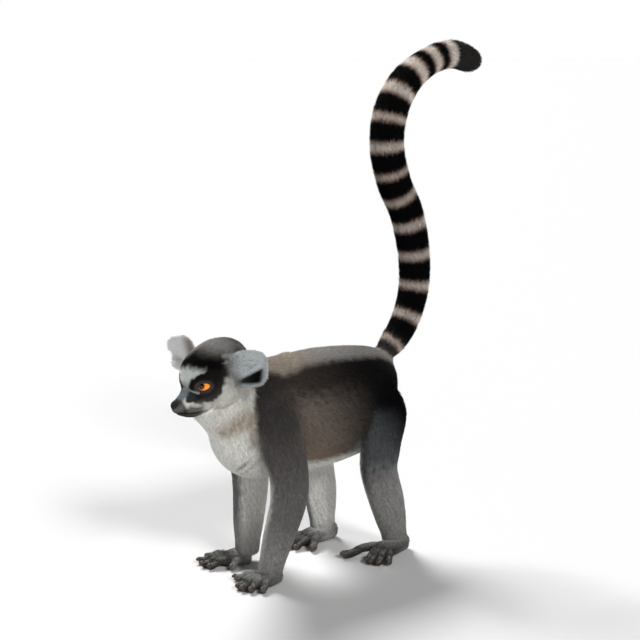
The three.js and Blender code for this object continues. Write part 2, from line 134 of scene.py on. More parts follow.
# Hands and feet: palm length, half-width and thickness, then the digits from the inner one outwards:
# where each leaves the palm (ahead, outward), its outward turn in degrees, length and radius
HAND = (30.0, 15.0, 8.5)
FOOT = (50.0, 15.5, 10.0)
DIGITS = {
    "hand_left": [
        (13, -12, -45, 40, 5.0), (28, -13, 1, 29, 5.1), (28, -7, 8, 29, 5.2), (25, 0.5, 17, 27, 5.2),
        (19, 7.5, 34, 25, 5.0),
    ],
    "hand_right": [
        (11, -11, -50, 21, 5.0), (27, -10, -15, 29, 5.0), (29, -4, -6, 36, 5.1), (28, 3.5, 5, 40, 5.1),
        (24, 10, 20, 33, 4.9),
    ],
    "foot_left": [
        (36, -12, -27, 60, 6.0), (46, -9, 12, 35, 5.0), (47, -2.5, 14, 35, 5.1), (45, 5, 21, 34, 5.1),
        (40, 11.5, 31, 30, 4.9),
    ],
    "foot_right": [
        (34, -11, -43, 33, 5.8), (47, -10, -8, 29, 4.9), (49, -3, 2, 32, 5.0), (47, 4, 12, 32, 5.0),
        (42, 10.5, 25, 28, 4.8),
    ],
}
# where the heel stands, the outward turn and the side
PAWS = {
    "hand_left": ((38, -197), 3, 1),
    "hand_right": ((-42, -191), 28, -1),
    "foot_left": ((56, 20), 10, 1),
    "foot_right": ((-43, -34), 3, -1),
}

# Tail: y, z, radius
TAIL = np.array([
    (4, 262, 16), (32, 286, 19.5), (64, 319, 22), (84, 366, 23.5), (86, 420, 24.8), (71, 483, 25.8),
    (45, 533, 26), (31, 583, 26), (37, 632, 26), (64, 674, 24.2), (106, 701, 21.6), (150, 712, 22),
    (186, 705, 20), (208, 697, 13),
], float)
TAIL_COAT = 5.5
# Dark rings: their middles and half-widths along the tail, measured from where it leaves the rump, which is
# RING_START past the curve's beginning. The dark tip starts at TIP_FROM.
RING_START = 37.0
DARK_RINGS = np.array([2, 37.5, 87, 134, 181, 228.5, 270, 306.5, 346.5, 382, 423, 463, 495.5])
DARK_HALF = np.array([8, 17.5, 17, 16.5, 16, 15.5, 13.5, 13.5, 13, 12.5, 12.7, 9, 8])
TIP_FROM = 520.0

SKIN_VOXEL = 1.25  # size of the voxels that merge the solids
SKIN_KEPT = 0.28  # share of the skin's triangles that the thinning keeps
BLEND_ROUNDS = 160  # of smoothing, where one part runs into another
PAW_COAT, DIGIT_COAT = 0.7, 0.25  # depth of the coat on palms and digits
LID_FOLD = 4.6  # bare skin round the opening between the lids
BLEND_REACH = 5.0  # over which a point goes from one part to the next
FAR_AWAY = 200.0  # stands for the distance to a part that is nowhere near
EAR_BOX, PAW_BOX, PART_BOX = 34, 70, 14  # how far round a part's rows a point can belong to it
SOCKET_DEPTH = 1.2  # of the skin behind the eyeballs' surface
MOUTH_DEPTH = 1.3
PAW_ROUGHNESS = 0.38  # depth of the small bumps on paws and ankles
EYE_INSET = 0.15  # of the eyeball under the surface that the lids lie on
CORNEA_RISE, CORNEA_ANGLE = 0.55, 0.85  # how far the cornea stands out, and its half-angle in radians
LIE_SWIRL = 0.16  # share of the noise's slope in the coat's lie
STREAK_DEPTH = 0.075  # how much the streaks in the coat lighten and darken it

# Trunk pieces of the coat: from and to, as shares of the way from rump to head
TORSO_PIECES = (("neck", 0.68, 1), ("chest", 0.44, 0.68), ("belly", 0.22, 0.44), ("rump", -1, 0.22))
PIECE_TUFTS = 33000  # the most that one piece may have
# A tuft: how deep its root is sunk, where its ring is as shares of length and rise, and the shares of the
# coat's colour at root, ring and tip
ROOT_SUNK, RING_AT, RING_RISE = 0.8, 0.45, 0.62
# The root's darker share is painted shade deep in the coat; the paler tip is the hair's own.
ROOT_PAINTED_SHADE, RING_TONE, TIP_TONE = 0.72, 0.98, 1.12

# The studio, in metres and degrees
FLOOR_HALF = 150.0
CAMERA_TARGET = np.array([-0.11448, 0.0, 0.318])  # in the animal's own frame
LAMPS = (("lamp_right", 87, 39, 14, 2.0), ("lamp_left", 266, 51, 23, 4.0))  # round, up, spread, power
LAMP_DISTANCE = 3
SKY_FADE = {"in_From_Min": 0.20, "in_From_Max": 0.36, "in_To_Min": 1.0, "in_To_Max": 0.04}

# Smooth noises: length of the waves in millimetres and seed
NOISES = {
    "border": (9.0, 11),
    "streak": (3.6, 67),
    "ear_fleck": (2.6, 41),
    # painted shade of small wrinkles on the paws
    "paw_wrinkle_shade": (3.2, 29),
    "paw_bumps": (4.6, 53),
    "lie": (9.0, 31),
}

# ---------------------------------------------------------------- what a user would change


def length_setting(label, what, value):
    """A length a user can change, in metres."""
    return FloatProperty(name=label, description=what, default=value, subtype="DISTANCE")


def angle_setting(label, what, degrees):
    """An angle a user can change."""
    return FloatProperty(name=label, description=what, default=math.radians(degrees), subtype="ANGLE")


def colour_setting(label, what, *rgb):
    """A colour a user can change."""
    return FloatVectorProperty(name=label, description=what, default=rgb, subtype="COLOR")


class LemurCoat(bpy.types.PropertyGroup):
    """Lengths and thickness of the coat."""

    body_length: length_setting("Body", "Length of the tufts on trunk and neck", 0.0105)
    limb_length: length_setting("Limbs", "Length of the tufts on the limbs", 0.0078)
    tail_length: length_setting("Tail", "Length of the tufts on the tail", 0.0120)
    face_length: length_setting("Face", "Length of the tufts on the cheeks", 0.0042)
    tuft_count: IntProperty(
        name="Tufts", description="Number of tufts on the whole animal", default=240000, min=1000
    )


class LemurColours(bpy.types.PropertyGroup):
    """The main colours of the coat and the eyes."""

    saddle: colour_setting("Saddle", "Along the spine", 0.40, 0.345, 0.285)
    flank: colour_setting("Flank", "Sides of the trunk", 0.215, 0.178, 0.150)
    rump: colour_setting("Rump", "Hips and rump", 0.008, 0.008, 0.008)
    belly: colour_setting("Belly", "Chest, throat and belly", 0.88, 0.87, 0.82)
    limb: colour_setting("Limbs", "Outer side of the limbs", 0.250, 0.240, 0.234)
    cap: colour_setting("Cap", "Cap over the brow", 0.003, 0.003, 0.003)
    ring_pale: colour_setting("Pale rings", "Pale rings of the tail", 0.64, 0.58, 0.525)
    ring_dark: colour_setting("Dark rings", "Dark rings of the tail", 0.003, 0.003, 0.003)
    iris: colour_setting("Iris", "Iris of the eyes", 0.95, 0.27, 0.010)


class LemurStudio(bpy.types.PropertyGroup):
    """The camera and the lights."""

    lens: FloatProperty(name="Lens", description="Focal length", default=70.0, unit="CAMERA")
    azimuth: angle_setting("Azimuth", "Camera's place round the animal", 52)
    elevation: angle_setting("Elevation", "Camera's height above level", 12)
    distance: length_setting("Distance", "Camera's distance", 1.8868)
    light: FloatProperty(name="Light", description="Strength of all lamps", default=1.0, min=0.0)


# ---------------------------------------------------------------- curves, sweeps and meshes


def unit(v):
    """Each row divided by its own length."""
    v = np.asarray(v, float)
    return v / np.maximum(np.linalg.norm(v, axis=-1, keepdims=True), 1e-9)


def step(x, low, high):
    """Smooth step: 0 below low, 1 above high, and 3s^2 - 2s^3 of the share s between them."""
    s = np.clip((x - low) / (high - low), 0, 1)
    return s * s * (3 - 2 * s)


def hump(x, middle, half):
    """A smooth hill: 1 at the middle, falling to 0 at half on each side, as (1 - d^2)^2."""
    d = np.clip(np.abs(x - middle) / half, 0, 1)
    return (1 - d * d) ** 2


def mix(a, b, share):
    """Colours or vectors a and b blended row by row: a + (b - a) times the share. A colour may be given by
    its name in SHADES."""
    a, b = (np.asarray(SHADES[v] if isinstance(v, str) else v) for v in (a, b))
    return a + (b - a) * np.asarray(share)[:, None]


def spline(rows, t):
    """Catmull-Rom curve through rows of numbers; t from 0 to 1 runs over all of them."""
    rows = np.asarray(rows, float)
    last = len(rows) - 1
    place = np.clip(t, 0, 1) * last
    i = np.minimum(place.astype(int), last - 1)
    s = (place - i)[:, None]
    a, b, c, d = (rows[np.clip(i + k, 0, last)] for k in (-1, 0, 1, 2))
    return b + 0.5 * s * (c - a + s * (2 * a - 5 * b + 4 * c - d + s * (3 * (b - c) + d - a)))


def ring_frames(rows, t, lateral):
    """Centre, sizes and the three directions at t: ahead along the curve, side level with it, and above."""
    here = spline(rows, t)
    ahead = unit(spline(rows, t + 0.01)[:, :3] - spline(rows, t - 0.01)[:, :3])
    side = unit(lateral - ahead * (ahead @ lateral)[:, None])
    return here[:, :3], here[:, 3:6], ahead, side, np.cross(ahead, side)


def power_ring(angle, power):
    """Superellipse of radius 1: the cosine and sine, each to the power 2 / power with its own sign."""
    c, s = np.cos(angle), np.sin(angle)
    return np.sign(c) * np.abs(c) ** (2 / power), np.sign(s) * np.abs(s) ** (2 / power)


def grid_triangles(rows, columns, closed=True, wrap=False):
    """Two triangles for each cell of a grid of rows of points. The last column joins the first if closed,
    and the last row joins the first if they wrap."""
    i, j = np.meshgrid(np.arange(rows if wrap else rows - 1), np.arange(columns if closed else columns - 1),
                       indexing="ij")
    a, b = i * columns + j, i * columns + (j + 1) % columns
    below = (i + 1) % rows * columns
    c, d = below + j, below + (j + 1) % columns
    return np.stack([a, b, c, b, d, c], -1).reshape(-1, 3)


def capped_tube(rows, sides):
    """The triangles of a tube of rows of points, closed by a fan at each end. The fans' middles are the two
    points after the rows'."""
    n, j = rows * sides, np.arange(sides)
    k = (j + 1) % sides
    first = np.stack([np.full(sides, n), k, j], -1)
    last = np.stack([np.full(sides, n + 1), n - sides + j, n - sides + k], -1)
    return np.concatenate([grid_triangles(rows, sides), first, last])


def sweep(rows, sides=32, steps=48, caps=(0.08, 0.08), power=2.2, lateral=X_AXIS):
    """A closed tube through rows of x, y, z, half-width, height above, height below. Each ring is a
    superellipse across the curve, and near the ends it shrinks as sqrt(1 - (1 - d / cap)^2), d being the
    share of the way to the end."""
    rounding = 1 - np.cos(np.linspace(0, np.pi / 2, 7))[1:-1]
    middle = np.linspace(caps[0], 1 - caps[1], steps)
    t = np.concatenate([caps[0] * rounding, middle, 1 - caps[1] * rounding[::-1]])
    shrink = np.sqrt(1 - (1 - np.minimum(t / caps[0], 1)) ** 2)
    shrink = shrink * np.sqrt(1 - (1 - np.minimum((1 - t) / caps[1], 1)) ** 2)
    centre, size, _, side, above = ring_frames(rows, t, lateral)
    c, s = power_ring(np.arange(sides) / sides * 2 * np.pi, power)
    size = np.maximum(size, 0.4) * shrink[:, None]
    tall = np.where(s > 0, size[:, 1:2], size[:, 2:3]) * s
    wide = size[:, :1] * c
    verts = centre[:, None] + side[:, None] * wide[..., None] + above[:, None] * tall[..., None]
    ends = spline(rows, np.array([0.0, 1.0]))[:, :3]
    return np.concatenate([verts.reshape(-1, 3), ends]), capped_tube(len(t), sides)


def globe(at, radii, axes, sides=32, rings=20):
    """An ellipsoid: a sphere in latitude rings, scaled along three axes (rows) and moved to its place."""
    lat = np.linspace(-np.pi / 2, np.pi / 2, rings + 2)[1:-1]
    lon = np.arange(sides) / sides * 2 * np.pi
    ball = np.stack([
        np.cos(lat)[:, None] * np.cos(lon),
        np.cos(lat)[:, None] * np.sin(lon),
        np.repeat(np.sin(lat)[:, None], sides, 1),
    ], -1).reshape(-1, 3)
    ball = np.concatenate([ball, [(0, 0, -1), (0, 0, 1)]])
    return at + (ball * radii) @ np.asarray(axes), capped_tube(rings, sides)


def unit_globe():
    """A ball of radius 1 round the origin, finely divided."""
    return globe(np.zeros(3), np.ones(3), np.eye(3), sides=64, rings=44)


def joined(meshes):
    """Several (points, triangles) as one, the triangles' numbers moved on past the points before them."""
    start = np.cumsum([0] + [len(v) for v, _ in meshes])
    verts = np.concatenate([v for v, _ in meshes])
    return verts, np.concatenate([t + s for (_, t), s in zip(meshes, start)])


def to_model(points):
    """From millimetres in the animal's frame to metres in the model's."""
    return (points + SHIFT) * 0.001


def new_mesh(name, verts, tris, smooth=True):
    """A mesh from arrays of points and triangles, in metres."""
    mesh = bpy.data.meshes.new(name)
    mesh.vertices.add(len(verts))
    mesh.vertices.foreach_set("co", np.ascontiguousarray(verts, np.float32).ravel())
    mesh.loops.add(len(tris) * 3)
    mesh.loops.foreach_set("vertex_index", np.ascontiguousarray(tris, np.int32).ravel())
    mesh.polygons.add(len(tris))
    mesh.polygons.foreach_set("loop_start", np.arange(0, len(tris) * 3, 3, dtype=np.int32))
    mesh.polygons.foreach_set("use_smooth", np.full(len(tris), smooth))
    mesh.update(calc_edges=True)
    return mesh


def new_object(name, mesh, material=None):
    """Puts a mesh in the scene at the origin, with its material and its material slot, if it has them."""
    obj = bpy.data.objects.new(name, mesh)
    bpy.context.scene.collection.objects.link(obj)
    if material:
        mesh.materials.append(material)
    return obj


def move_points(mesh, verts):
    """Puts a mesh's points elsewhere."""
    mesh.vertices.foreach_set("co", verts.astype(np.float32).ravel())
    mesh.update()


def colour_attribute(mesh, name, colours):
    """A colour for each point."""
    layer = mesh.color_attributes.new(name, "FLOAT_COLOR", "POINT")
    rgba = np.ones((len(colours), 4), np.float32)
    rgba[:, :3] = colours
    layer.data.foreach_set("color", rgba.ravel())


def read(items, name, width, kind):
    """One property of all items of a mesh as rows of an array."""
    values = np.empty(len(items) * width, kind)
    items.foreach_get(name, values)
    return values.reshape(-1, width)


def mesh_arrays(mesh):
    """Points, triangles and point normals of a mesh as arrays."""
    mesh.calc_loop_triangles()
    verts = read(mesh.vertices, "co", 3, np.float32).astype(float)
    normals = read(mesh.vertex_normals, "vector", 3, np.float32).astype(float)
    return verts, read(mesh.loop_triangles, "vertices", 3, np.int32), normals


def waves(points, size, seed, count=24):
    """Smooth noise between about -1 and 1: the mean of sine waves of random direction, about size long.
    Returns the noise and its slope."""
    rng = np.random.default_rng(seed)
    k = unit(rng.normal(size=(count, 3))) * (2 * np.pi / size) * rng.uniform(0.6, 1.5, (count, 1))
    phase = points @ k.T + rng.uniform(0, 2 * np.pi, count)
    scale = math.sqrt(2 / count)
    return np.sin(phase).sum(1) * scale, (np.cos(phase) @ k) * scale * size / (2 * np.pi)


# ---------------------------------------------------------------- the body's parts


def head_axes():
    """Forward, up and left of the head: turned about the upright, nodded, then tilted about forward."""
    ct, st, cn, sn = math.cos(HEAD_TURN), math.sin(HEAD_TURN), math.cos(HEAD_NOD), math.sin(HEAD_NOD)
    forward = np.array([st * cn, -ct * cn, -sn])
    level = np.array([ct, st, 0.0])
    left = level * math.cos(HEAD_TILT) + np.cross(forward, level) * math.sin(HEAD_TILT)
    return np.array([forward, np.cross(forward, left), left])


HEAD = head_axes()


def head_point(local):
    """A point given forward, up and left in the head's frame."""
    return HEAD_AT + np.asarray(local, float) @ HEAD


def in_head(points):
    """How far forward, up and left each point is in the head's frame."""
    return ((points - HEAD_AT) @ HEAD.T).T


def eye_frame(sign, angles):
    """Centre of an eye and three axes: level, raised, and outward along a line of sight that is turned
    outwards and upwards by the given angles."""
    out, rise = angles[0] * sign, angles[1]
    flat = math.cos(rise)
    sight = np.array([math.cos(out) * flat, math.sin(rise), math.sin(out) * flat]) @ HEAD
    level = unit(np.cross(HEAD[1], sight))
    at = head_point(EYE * np.array([1, 1, sign]))
    return at, np.array([level, np.cross(sight, level), sight])


def digit_rows(start, heading, length, radius):
    """A finger or toe: it rises to a knuckle and bends down to its pad on the floor."""
    share = np.array([-0.2, 0.15, 0.46, 0.72, 0.88, 1.0])
    rise = radius * 1.5
    height = np.array([rise + 2, rise + 3.2, rise + 2.8, radius + 1.2, radius + 0.2, radius])
    size = radius * np.array([1.0, 1.02, 1.0, 0.95, 1.02, 0.9])
    flat = np.asarray(start) + np.outer(share * length, heading)
    return np.column_stack([flat, height, size, size, size])


def paw_rows(name):
    """The palm's rows and the rows of its five digits, with the direction each of them points."""
    heel, splay, sign = PAWS[name]
    length, wide, thick = HAND if name.startswith("hand") else FOOT

    def turned(degrees):
        angle = math.radians(degrees) * sign
        return np.array([math.sin(angle), -math.cos(angle)])

    forward = turned(splay)
    outward = np.array([-forward[1], forward[0]]) * sign
    ahead = np.array([-8, length * 0.25, length * 0.65, length, length + 7])
    z = thick * np.array([1, 1, 0.9, 0.8, 0.7])
    across = wide * np.array([0.72, 0.92, 1, 0.98, 0.8])
    up = np.array([thick + 5, thick + 7, thick + 4, thick * 0.85, thick * 0.45])
    palm = np.column_stack([np.asarray(heel) + np.outer(ahead, forward), z, across, up, z])
    fingers = []
    for out, aside, angle, reach, radius in DIGITS[name]:
        heading = turned(splay + angle)
        start = np.asarray(heel) + forward * out + outward * aside
        fingers.append((digit_rows(start, heading, reach, radius), heading, radius))
    return palm, forward, fingers


def ear_axes(side):
    """Root, and three directions: along the ear, across it, and the way its hollow faces."""
    root, tip, hollow = EARS[side]
    along = unit(head_point(tip) - head_point(root))
    facing = hollow @ HEAD
    facing = unit(facing - along * (facing @ along))
    return head_point(root), np.array([along, np.cross(along, facing), facing])


def body_parts():
    """Every sweep of the body by name: its rows, which reach to the coat's tips, and the direction that is
    level across it."""
    parts = {"torso": (np.column_stack([np.zeros(len(TORSO)), TORSO[:, :5]]), X_AXIS)}
    middle = head_point(np.column_stack([SKULL[:, :2], np.zeros(len(SKULL))]))
    parts["skull"] = (np.column_stack([middle, SKULL[:, 2:5]]), HEAD[2])
    tail = np.column_stack([np.zeros(len(TAIL)), TAIL[:, :2], np.repeat(TAIL[:, 2:], 3, 1)])
    parts["tail"] = (tail, X_AXIS)
    for name in ("arm_left", "leg_left", "arm_right", "leg_right"):
        parts[name] = (np.column_stack([LIMB_PATHS[name], LIMB_SIZES[name[:3]]]), X_AXIS)
    for name in PAWS:
        palm, forward, _ = paw_rows(name)
        parts[name] = (palm, np.array([-forward[1], forward[0], 0.0]))
    return parts


PARTS = body_parts()
PART_NAMES = [*PARTS, "ear_left", "ear_right"]


# ---------------------------------------------------------------- the skin's raw solids


def inset(rows, depth):
    """Rows made smaller by the depth of the coat, with both ends drawn in along the curve by it."""
    rows = rows[:, :6].copy()
    depth = np.broadcast_to(depth, len(rows))
    rows[:, 3:6] = np.maximum(rows[:, 3:6] - depth[:, None], 0.5)
    for end, inner in ((0, 1), (-1, -2)):
        way = unit(rows[inner, :3] - rows[end, :3])
        rows[end, :3] += way * depth[end]
    return rows


def ear_width(v):
    """Half-width of an ear at v, from root (0) to tip (1): half * (1 - |(v - 0.48) / 0.54|^3.2)^0.31."""
    return EAR_HALF * np.maximum(1 - np.abs((np.clip(v, 0, 1) - 0.48) / 0.54) ** 3.2, 0.02) ** 0.31


def ear_hollow(v, low):
    """1 in the hollow, 0 on the folded lobe: the lobe covers the upper part, and its edge runs from the
    lower side near the root (v = 0.44, low = 0.6) to the middle of the tip."""
    return step(low + 1.1 * (v - 0.44), 0.34, 0.52)


def ear_dish(v, u, side):
    """How deep an ear's sheet lies: the cup times (u^2 - 1), shallower to the tip and much shallower on the
    lobe."""
    low = u if side == "left" else -u
    depth = (1 - 0.35 * v) * (0.30 + 0.70 * ear_hollow(v, low))
    return EAR_CUP * (np.clip(np.abs(u), 0, 1.2) ** 2 - 1) * depth


def ear_solid(side):
    """A cupped leaf. Across it u runs from -1 to 1 and from root to tip v from 0 to 1. Two faces stand a
    thickness apart that thins to the rim."""
    root, axes = ear_axes(side)
    columns, rows = 30, 34
    along = 1 - (1 - np.linspace(0, 1, rows)) ** 1.5
    v, u = np.meshgrid(along, np.sin(np.linspace(-np.pi / 2, np.pi / 2, columns)), indexing="ij")
    wide = ear_width(v)
    thick = EAR_THICK * (0.45 + 0.55 * np.sqrt(np.maximum(1 - u * u, 0))) * np.where(v > 0.97, 0.7, 1)
    dish = ear_dish(v, u, side)
    verts = []
    for face in (0.5, -0.5):
        local = np.stack([EAR_LENGTH * v, wide * u, dish + face * thick], -1)
        verts.append((root + local @ axes).reshape(-1, 3))
    n = rows * columns
    front = grid_triangles(rows, columns, closed=False)
    back = front[:, ::-1] + n
    i, j = np.arange(rows - 1) * columns, np.arange(columns - 1)
    top = (rows - 1) * columns

    def wall(a, b):
        return np.concatenate([np.stack([a, b, a + n], -1), np.stack([b, b + n, a + n], -1)])

    walls = [
        wall(i, i + columns),
        wall(i + 2 * columns - 1, i + columns - 1),
        wall(j + 1, j),
        wall(top + j, top + j + 1),
    ]
    return np.concatenate(verts), np.concatenate([front, back, *walls])[:, ::-1]


def skin_solids():
    """Every closed solid of the body, drawn in by the coat's depth: they overlap and are merged later."""

    def solid(part, depth, **shape):
        rows, lateral = PARTS[part]
        return sweep(inset(rows, depth), lateral=lateral, **shape)

    solids = [
        solid("torso", TORSO[:, 5], sides=64, steps=70, caps=(0.11, 0.05)),
        globe(np.array(WITHERS_AT), np.array(WITHERS_RADII), np.eye(3)),
        solid("skull", SKULL[:, 5], sides=48, steps=60, caps=(0.12, 0.06)),
        solid("tail", TAIL_COAT, sides=32, steps=140, caps=(0.03, 0.05), power=2),
    ]
    for side in SIDES:
        for limb, sizes in LIMB_SIZES.items():
            solids.append(solid(f"{limb}_{side}", sizes[:, 3], sides=36, steps=60, caps=(0.1, 0.04)))
        solids.append(ear_solid(side))
    for name in PAWS:
        solids.append(solid(name, PAW_COAT, sides=32, steps=28, caps=(0.12, 0.1), power=2.4))
        for digit, heading, _ in paw_rows(name)[2]:
            rows, level = inset(digit, DIGIT_COAT), np.array([-heading[1], heading[0], 0.0])
            solids.append(sweep(rows, sides=20, steps=26, caps=(0.06, 0.14), power=2, lateral=level))
    across, back, up = HEAD[2], -HEAD[0], HEAD[1]
    for sign in (-1, 1):
        for local, radii in (
            ((28, -20, 23), (15, 23, 19)),  # cheek
            ((46, 10, 18.5), (9.5, 10.5, 9.5)),  # brow
            ((47.5, -1.5, 20.5), (11, 12, 12)),  # round the eye
        ):
            at = head_point(np.array(local) * (1, 1, sign))
            solids.append(globe(at, np.array(radii), np.array([across, back, up])))
    return joined(solids)


# ---------------------------------------------------------------- where a point is on the body


def locate(part, points):
    """For points near one sweep: place along it t, its ring coordinates (across and above, 1 at the
    surface), distance from the surface and the direction ahead. The nearest of 60 points of the curve is
    refined by stepping along it."""
    rows, lateral = PARTS[part]
    grid = np.linspace(0, 1, 61)
    curve = spline(rows, grid)[:, :3]
    far = ((points**2).sum(1)[:, None] - 2 * points @ curve.T + (curve**2).sum(1)).argmin(1)
    t = grid[far]
    for _ in range(3):
        here, ahead = spline(rows, t)[:, :3], (spline(rows, t + 0.004) - spline(rows, t - 0.004))[:, :3]
        off = ((points - here) * ahead).sum(1) / np.maximum((ahead**2).sum(1), 1e-9)
        t = np.clip(t + off * 0.008, 0, 1)
    centre, size, ahead, side, above = ring_frames(rows, t, lateral)
    away = points - centre
    a = (away * side).sum(1) / size[:, 0]
    b = (away * above).sum(1)
    b = b / np.where(b > 0, size[:, 1], size[:, 2])
    c = (away * ahead).sum(1) / 12
    ring = np.sqrt(a * a + b * b + c * c)
    reach = np.linalg.norm(away, axis=1)
    return t, a, b, reach * (1 - 1 / np.maximum(ring, 0.05)), ahead


def ear_place(part, points):
    """For points near an ear: place v from root to tip, u across, w towards the side its hollow faces,
    distance from the surface and the direction along the ear."""
    side = part[4:]
    root, axes = ear_axes(side)
    along, across, out = ((points - root) @ axes.T).T
    v = along / EAR_LENGTH
    wide = ear_width(v)
    u = across / wide
    dish = ear_dish(v, u, side)
    inside = np.maximum(np.abs(u) - 1, 0) * wide + np.maximum(v - 1, 0) * EAR_LENGTH
    inside = inside + np.maximum(-v, 0) * EAR_LENGTH * 2
    return v, u, out - dish, inside + np.maximum(np.abs(out - dish) - 1.8, 0) - 1.5, axes[0]


def reach_of(part):
    """The box round a part in which a point can belong to it."""
    if part.startswith("ear"):
        root, axes = ear_axes(part[4:])
        spots = np.array([root, root + axes[0] * EAR_LENGTH])
        return spots.min(0) - EAR_BOX, spots.max(0) + EAR_BOX
    rows = PARTS[part][0]
    size = rows[:, 3:6].max(1, keepdims=True) + (PAW_BOX if part in PAWS else PART_BOX)
    return (rows[:, :3] - size).min(0), (rows[:, :3] + size).max(0)


class Places:
    """Which part of the body each point belongs to, and where it is on it. `share` has a column for each
    part: exp(-distance / BLEND_REACH) past the nearest one, scaled so that a row adds up to 1."""

    def __init__(self, points):
        self.points = points
        n = len(points)
        self.t, self.a, self.b, self.ahead = {}, {}, {}, {}
        gap = np.full((n, len(PART_NAMES)), FAR_AWAY)
        for column, part in enumerate(PART_NAMES):
            low, high = reach_of(part)
            near = np.flatnonzero(((points > low) & (points < high)).all(1))
            self.t[part], self.a[part], self.b[part] = np.zeros((3, n))
            self.ahead[part] = np.zeros((n, 3))
            fields = self.t[part], self.a[part], self.b[part], gap[:, column], self.ahead[part]
            place = ear_place if part.startswith("ear") else locate
            for values, found in zip(fields, place(part, points[near])):
                values[near] = found
        self.gap = gap
        share = np.exp((gap.min(1, keepdims=True) - gap) / BLEND_REACH)
        self.share = share / share.sum(1, keepdims=True)

    def of(self, *names):
        """Sum of the shares of the parts whose names start with any of these words."""
        columns = [i for i, part in enumerate(PART_NAMES) if part.startswith(names)]
        return self.share[:, columns].sum(1)


def tail_arc():
    """Length along the tail at even steps of t, in millimetres from where it leaves the rump."""
    t = np.linspace(0, 1, 400)
    curve = spline(PARTS["tail"][0], t)[:, :3]
    lengths = np.concatenate([[0], np.cumsum(np.linalg.norm(np.diff(curve, axis=0), axis=1))])
    return t, lengths - RING_START


# ---------------------------------------------------------------- markings

# Shades that go with the main colours of LemurColours
SHADES = {
    "flank_top": (0.058, 0.047, 0.040),
    "flank_low": (0.250, 0.198, 0.155),
    "shoulder": (0.044, 0.039, 0.037),
    "saddle_middle": (0.330, 0.318, 0.304),
    "saddle_hips": (0.265, 0.256, 0.243),
    "throat": (0.74, 0.725, 0.67),
    "chest_band": (0.42, 0.34, 0.25),
    "chest_streak": (0.42, 0.36, 0.30),
    "arm_top": (0.068, 0.062, 0.059),
    "arm_middle": (0.125, 0.115, 0.109),
    "leg_top": (0.004, 0.004, 0.005),
    "leg_middle": (0.118, 0.128, 0.134),
    # painted shade down the front of the thigh
    "thigh_front_shade": (0.012, 0.012, 0.012),
    "limb_end": (0.36, 0.35, 0.335),
    "limb_fleck": (0.10, 0.098, 0.095),
    "limb_inside": (0.88, 0.87, 0.83),
    "tail_tip": (0.028, 0.026, 0.025),
    "tail_root": (0.035, 0.034, 0.034),
    "cheek": (0.70, 0.685, 0.63),
    "forehead": (0.61, 0.635, 0.615),
    "crest": (0.060, 0.055, 0.051),
    "crown": (0.250, 0.242, 0.232),
    "crown_right": (0.080, 0.070, 0.062),
    "temple": (0.115, 0.115, 0.105),
    "temple_fleck": (0.30, 0.28, 0.25),
    "nape": (0.120, 0.112, 0.104),
    "patch": (0.010, 0.009, 0.008),
    "patch_inner": (0.026, 0.031, 0.030),
    "patch_lower": (0.036, 0.033, 0.031),
    "eyelid": (0.046, 0.035, 0.036),
    "nose_stroke": (0.30, 0.31, 0.31),
    "nose_pale": (0.42, 0.42, 0.40),
    "bridge": (0.15, 0.17, 0.185),
    "lips": (0.075, 0.072, 0.062),
    "lips_back": (0.16, 0.155, 0.14),
    "nose_tip": (0.030, 0.028, 0.027),
    "mouth": (0.018, 0.016, 0.015),
    "chin": (0.050, 0.043, 0.038),
    "lobe": (0.58, 0.62, 0.63),
    "lobe_fleck": (0.13, 0.14, 0.135),
    "lobe_root": (0.16, 0.16, 0.15),
    "lobe_tip": (0.55, 0.56, 0.56),
    "ear_pale": (0.93, 0.93, 0.93),
    "ear_root": (0.40, 0.36, 0.33),
    "ear_rim": (0.42, 0.45, 0.43),
    "ear_back": (0.30, 0.29, 0.275),
    # painted shade in the left ear's cup
    "hollow_left_shade": (0.004, 0.004, 0.004),
    "hollow_right": (0.80, 0.79, 0.77),
    "paw_skin": (0.034, 0.032, 0.030),
    "paw_top": (0.235, 0.231, 0.218),
    # painted highlight on the tops of the digits
    "digit_top_highlight": (0.215, 0.211, 0.198),
    # painted shade in the creases at the joints
    "digit_crease_shade": (0.026, 0.025, 0.024),
    "digit_tip": (0.230, 0.160, 0.120),
    "lid": (0.040, 0.030, 0.028),
    "nose_leather": (0.022, 0.019, 0.018),
    "nail": (0.055, 0.040, 0.032),
    "floor": (0.65, 0.65, 0.65),
}

# Lines of the markings. On the chest: ends of the tan band and of the streak below it (y, z).
CHEST_BAND = (-266, 226), (-238, 242)
CHEST_STREAK = (-235, 238), (-230, 205)
# Beside the nose, in an eye's frame (outwards, up): ends of a fine stroke and of a pale mark.
NOSE_STROKE = (-24.0, 4.0), (-8.5, -6.5)
NOSE_PALE = (-19.5, -20.0), (-13.5, -23.5)
# The mouth in the head's frame.
MOUTH_AHEAD = [52, 60, 78, 92, 98]
MOUTH_UP = [-37, -33, -26, -19, -16]
# The dark patch round an eye: its reach in millimetres from the eye, by direction in degrees (0 is
# outwards, 90 is up, 180 is towards the nose).
PATCH_ANGLE = np.radians([-180, -167, -150, -137, -110, -78, -39, -14, 13, 31, 50, 68, 94, 126, 161, 180])
PATCH_REACH = np.array([22, 26, 26, 24, 20.4, 20.5, 21.1, 21.5, 24.6, 28, 26, 19.5, 16.7, 17.1, 19.5, 22])


def colours_of(group):
    """The colours of a property group by name, as arrays."""
    return {name: np.array(getattr(group, name)) for name in LemurColours.__annotations__}


def near_segment(x, y, start, end):
    """Distance of points from a straight line between two ends, in a plane."""
    way = np.subtract(end, start)
    share = np.clip(((x - start[0]) * way[0] + (y - start[1]) * way[1]) / (way @ way), 0, 1)
    return np.hypot(x - start[0] - share * way[0], y - start[1] - share * way[1])


def round_lids(x, y, margin):
    """Distance from the middle of the opening between the lids: 1 is a margin outside its edge."""
    return np.hypot(x / (LID_HALF[0] + margin), y / (LID_HALF[1] + margin))


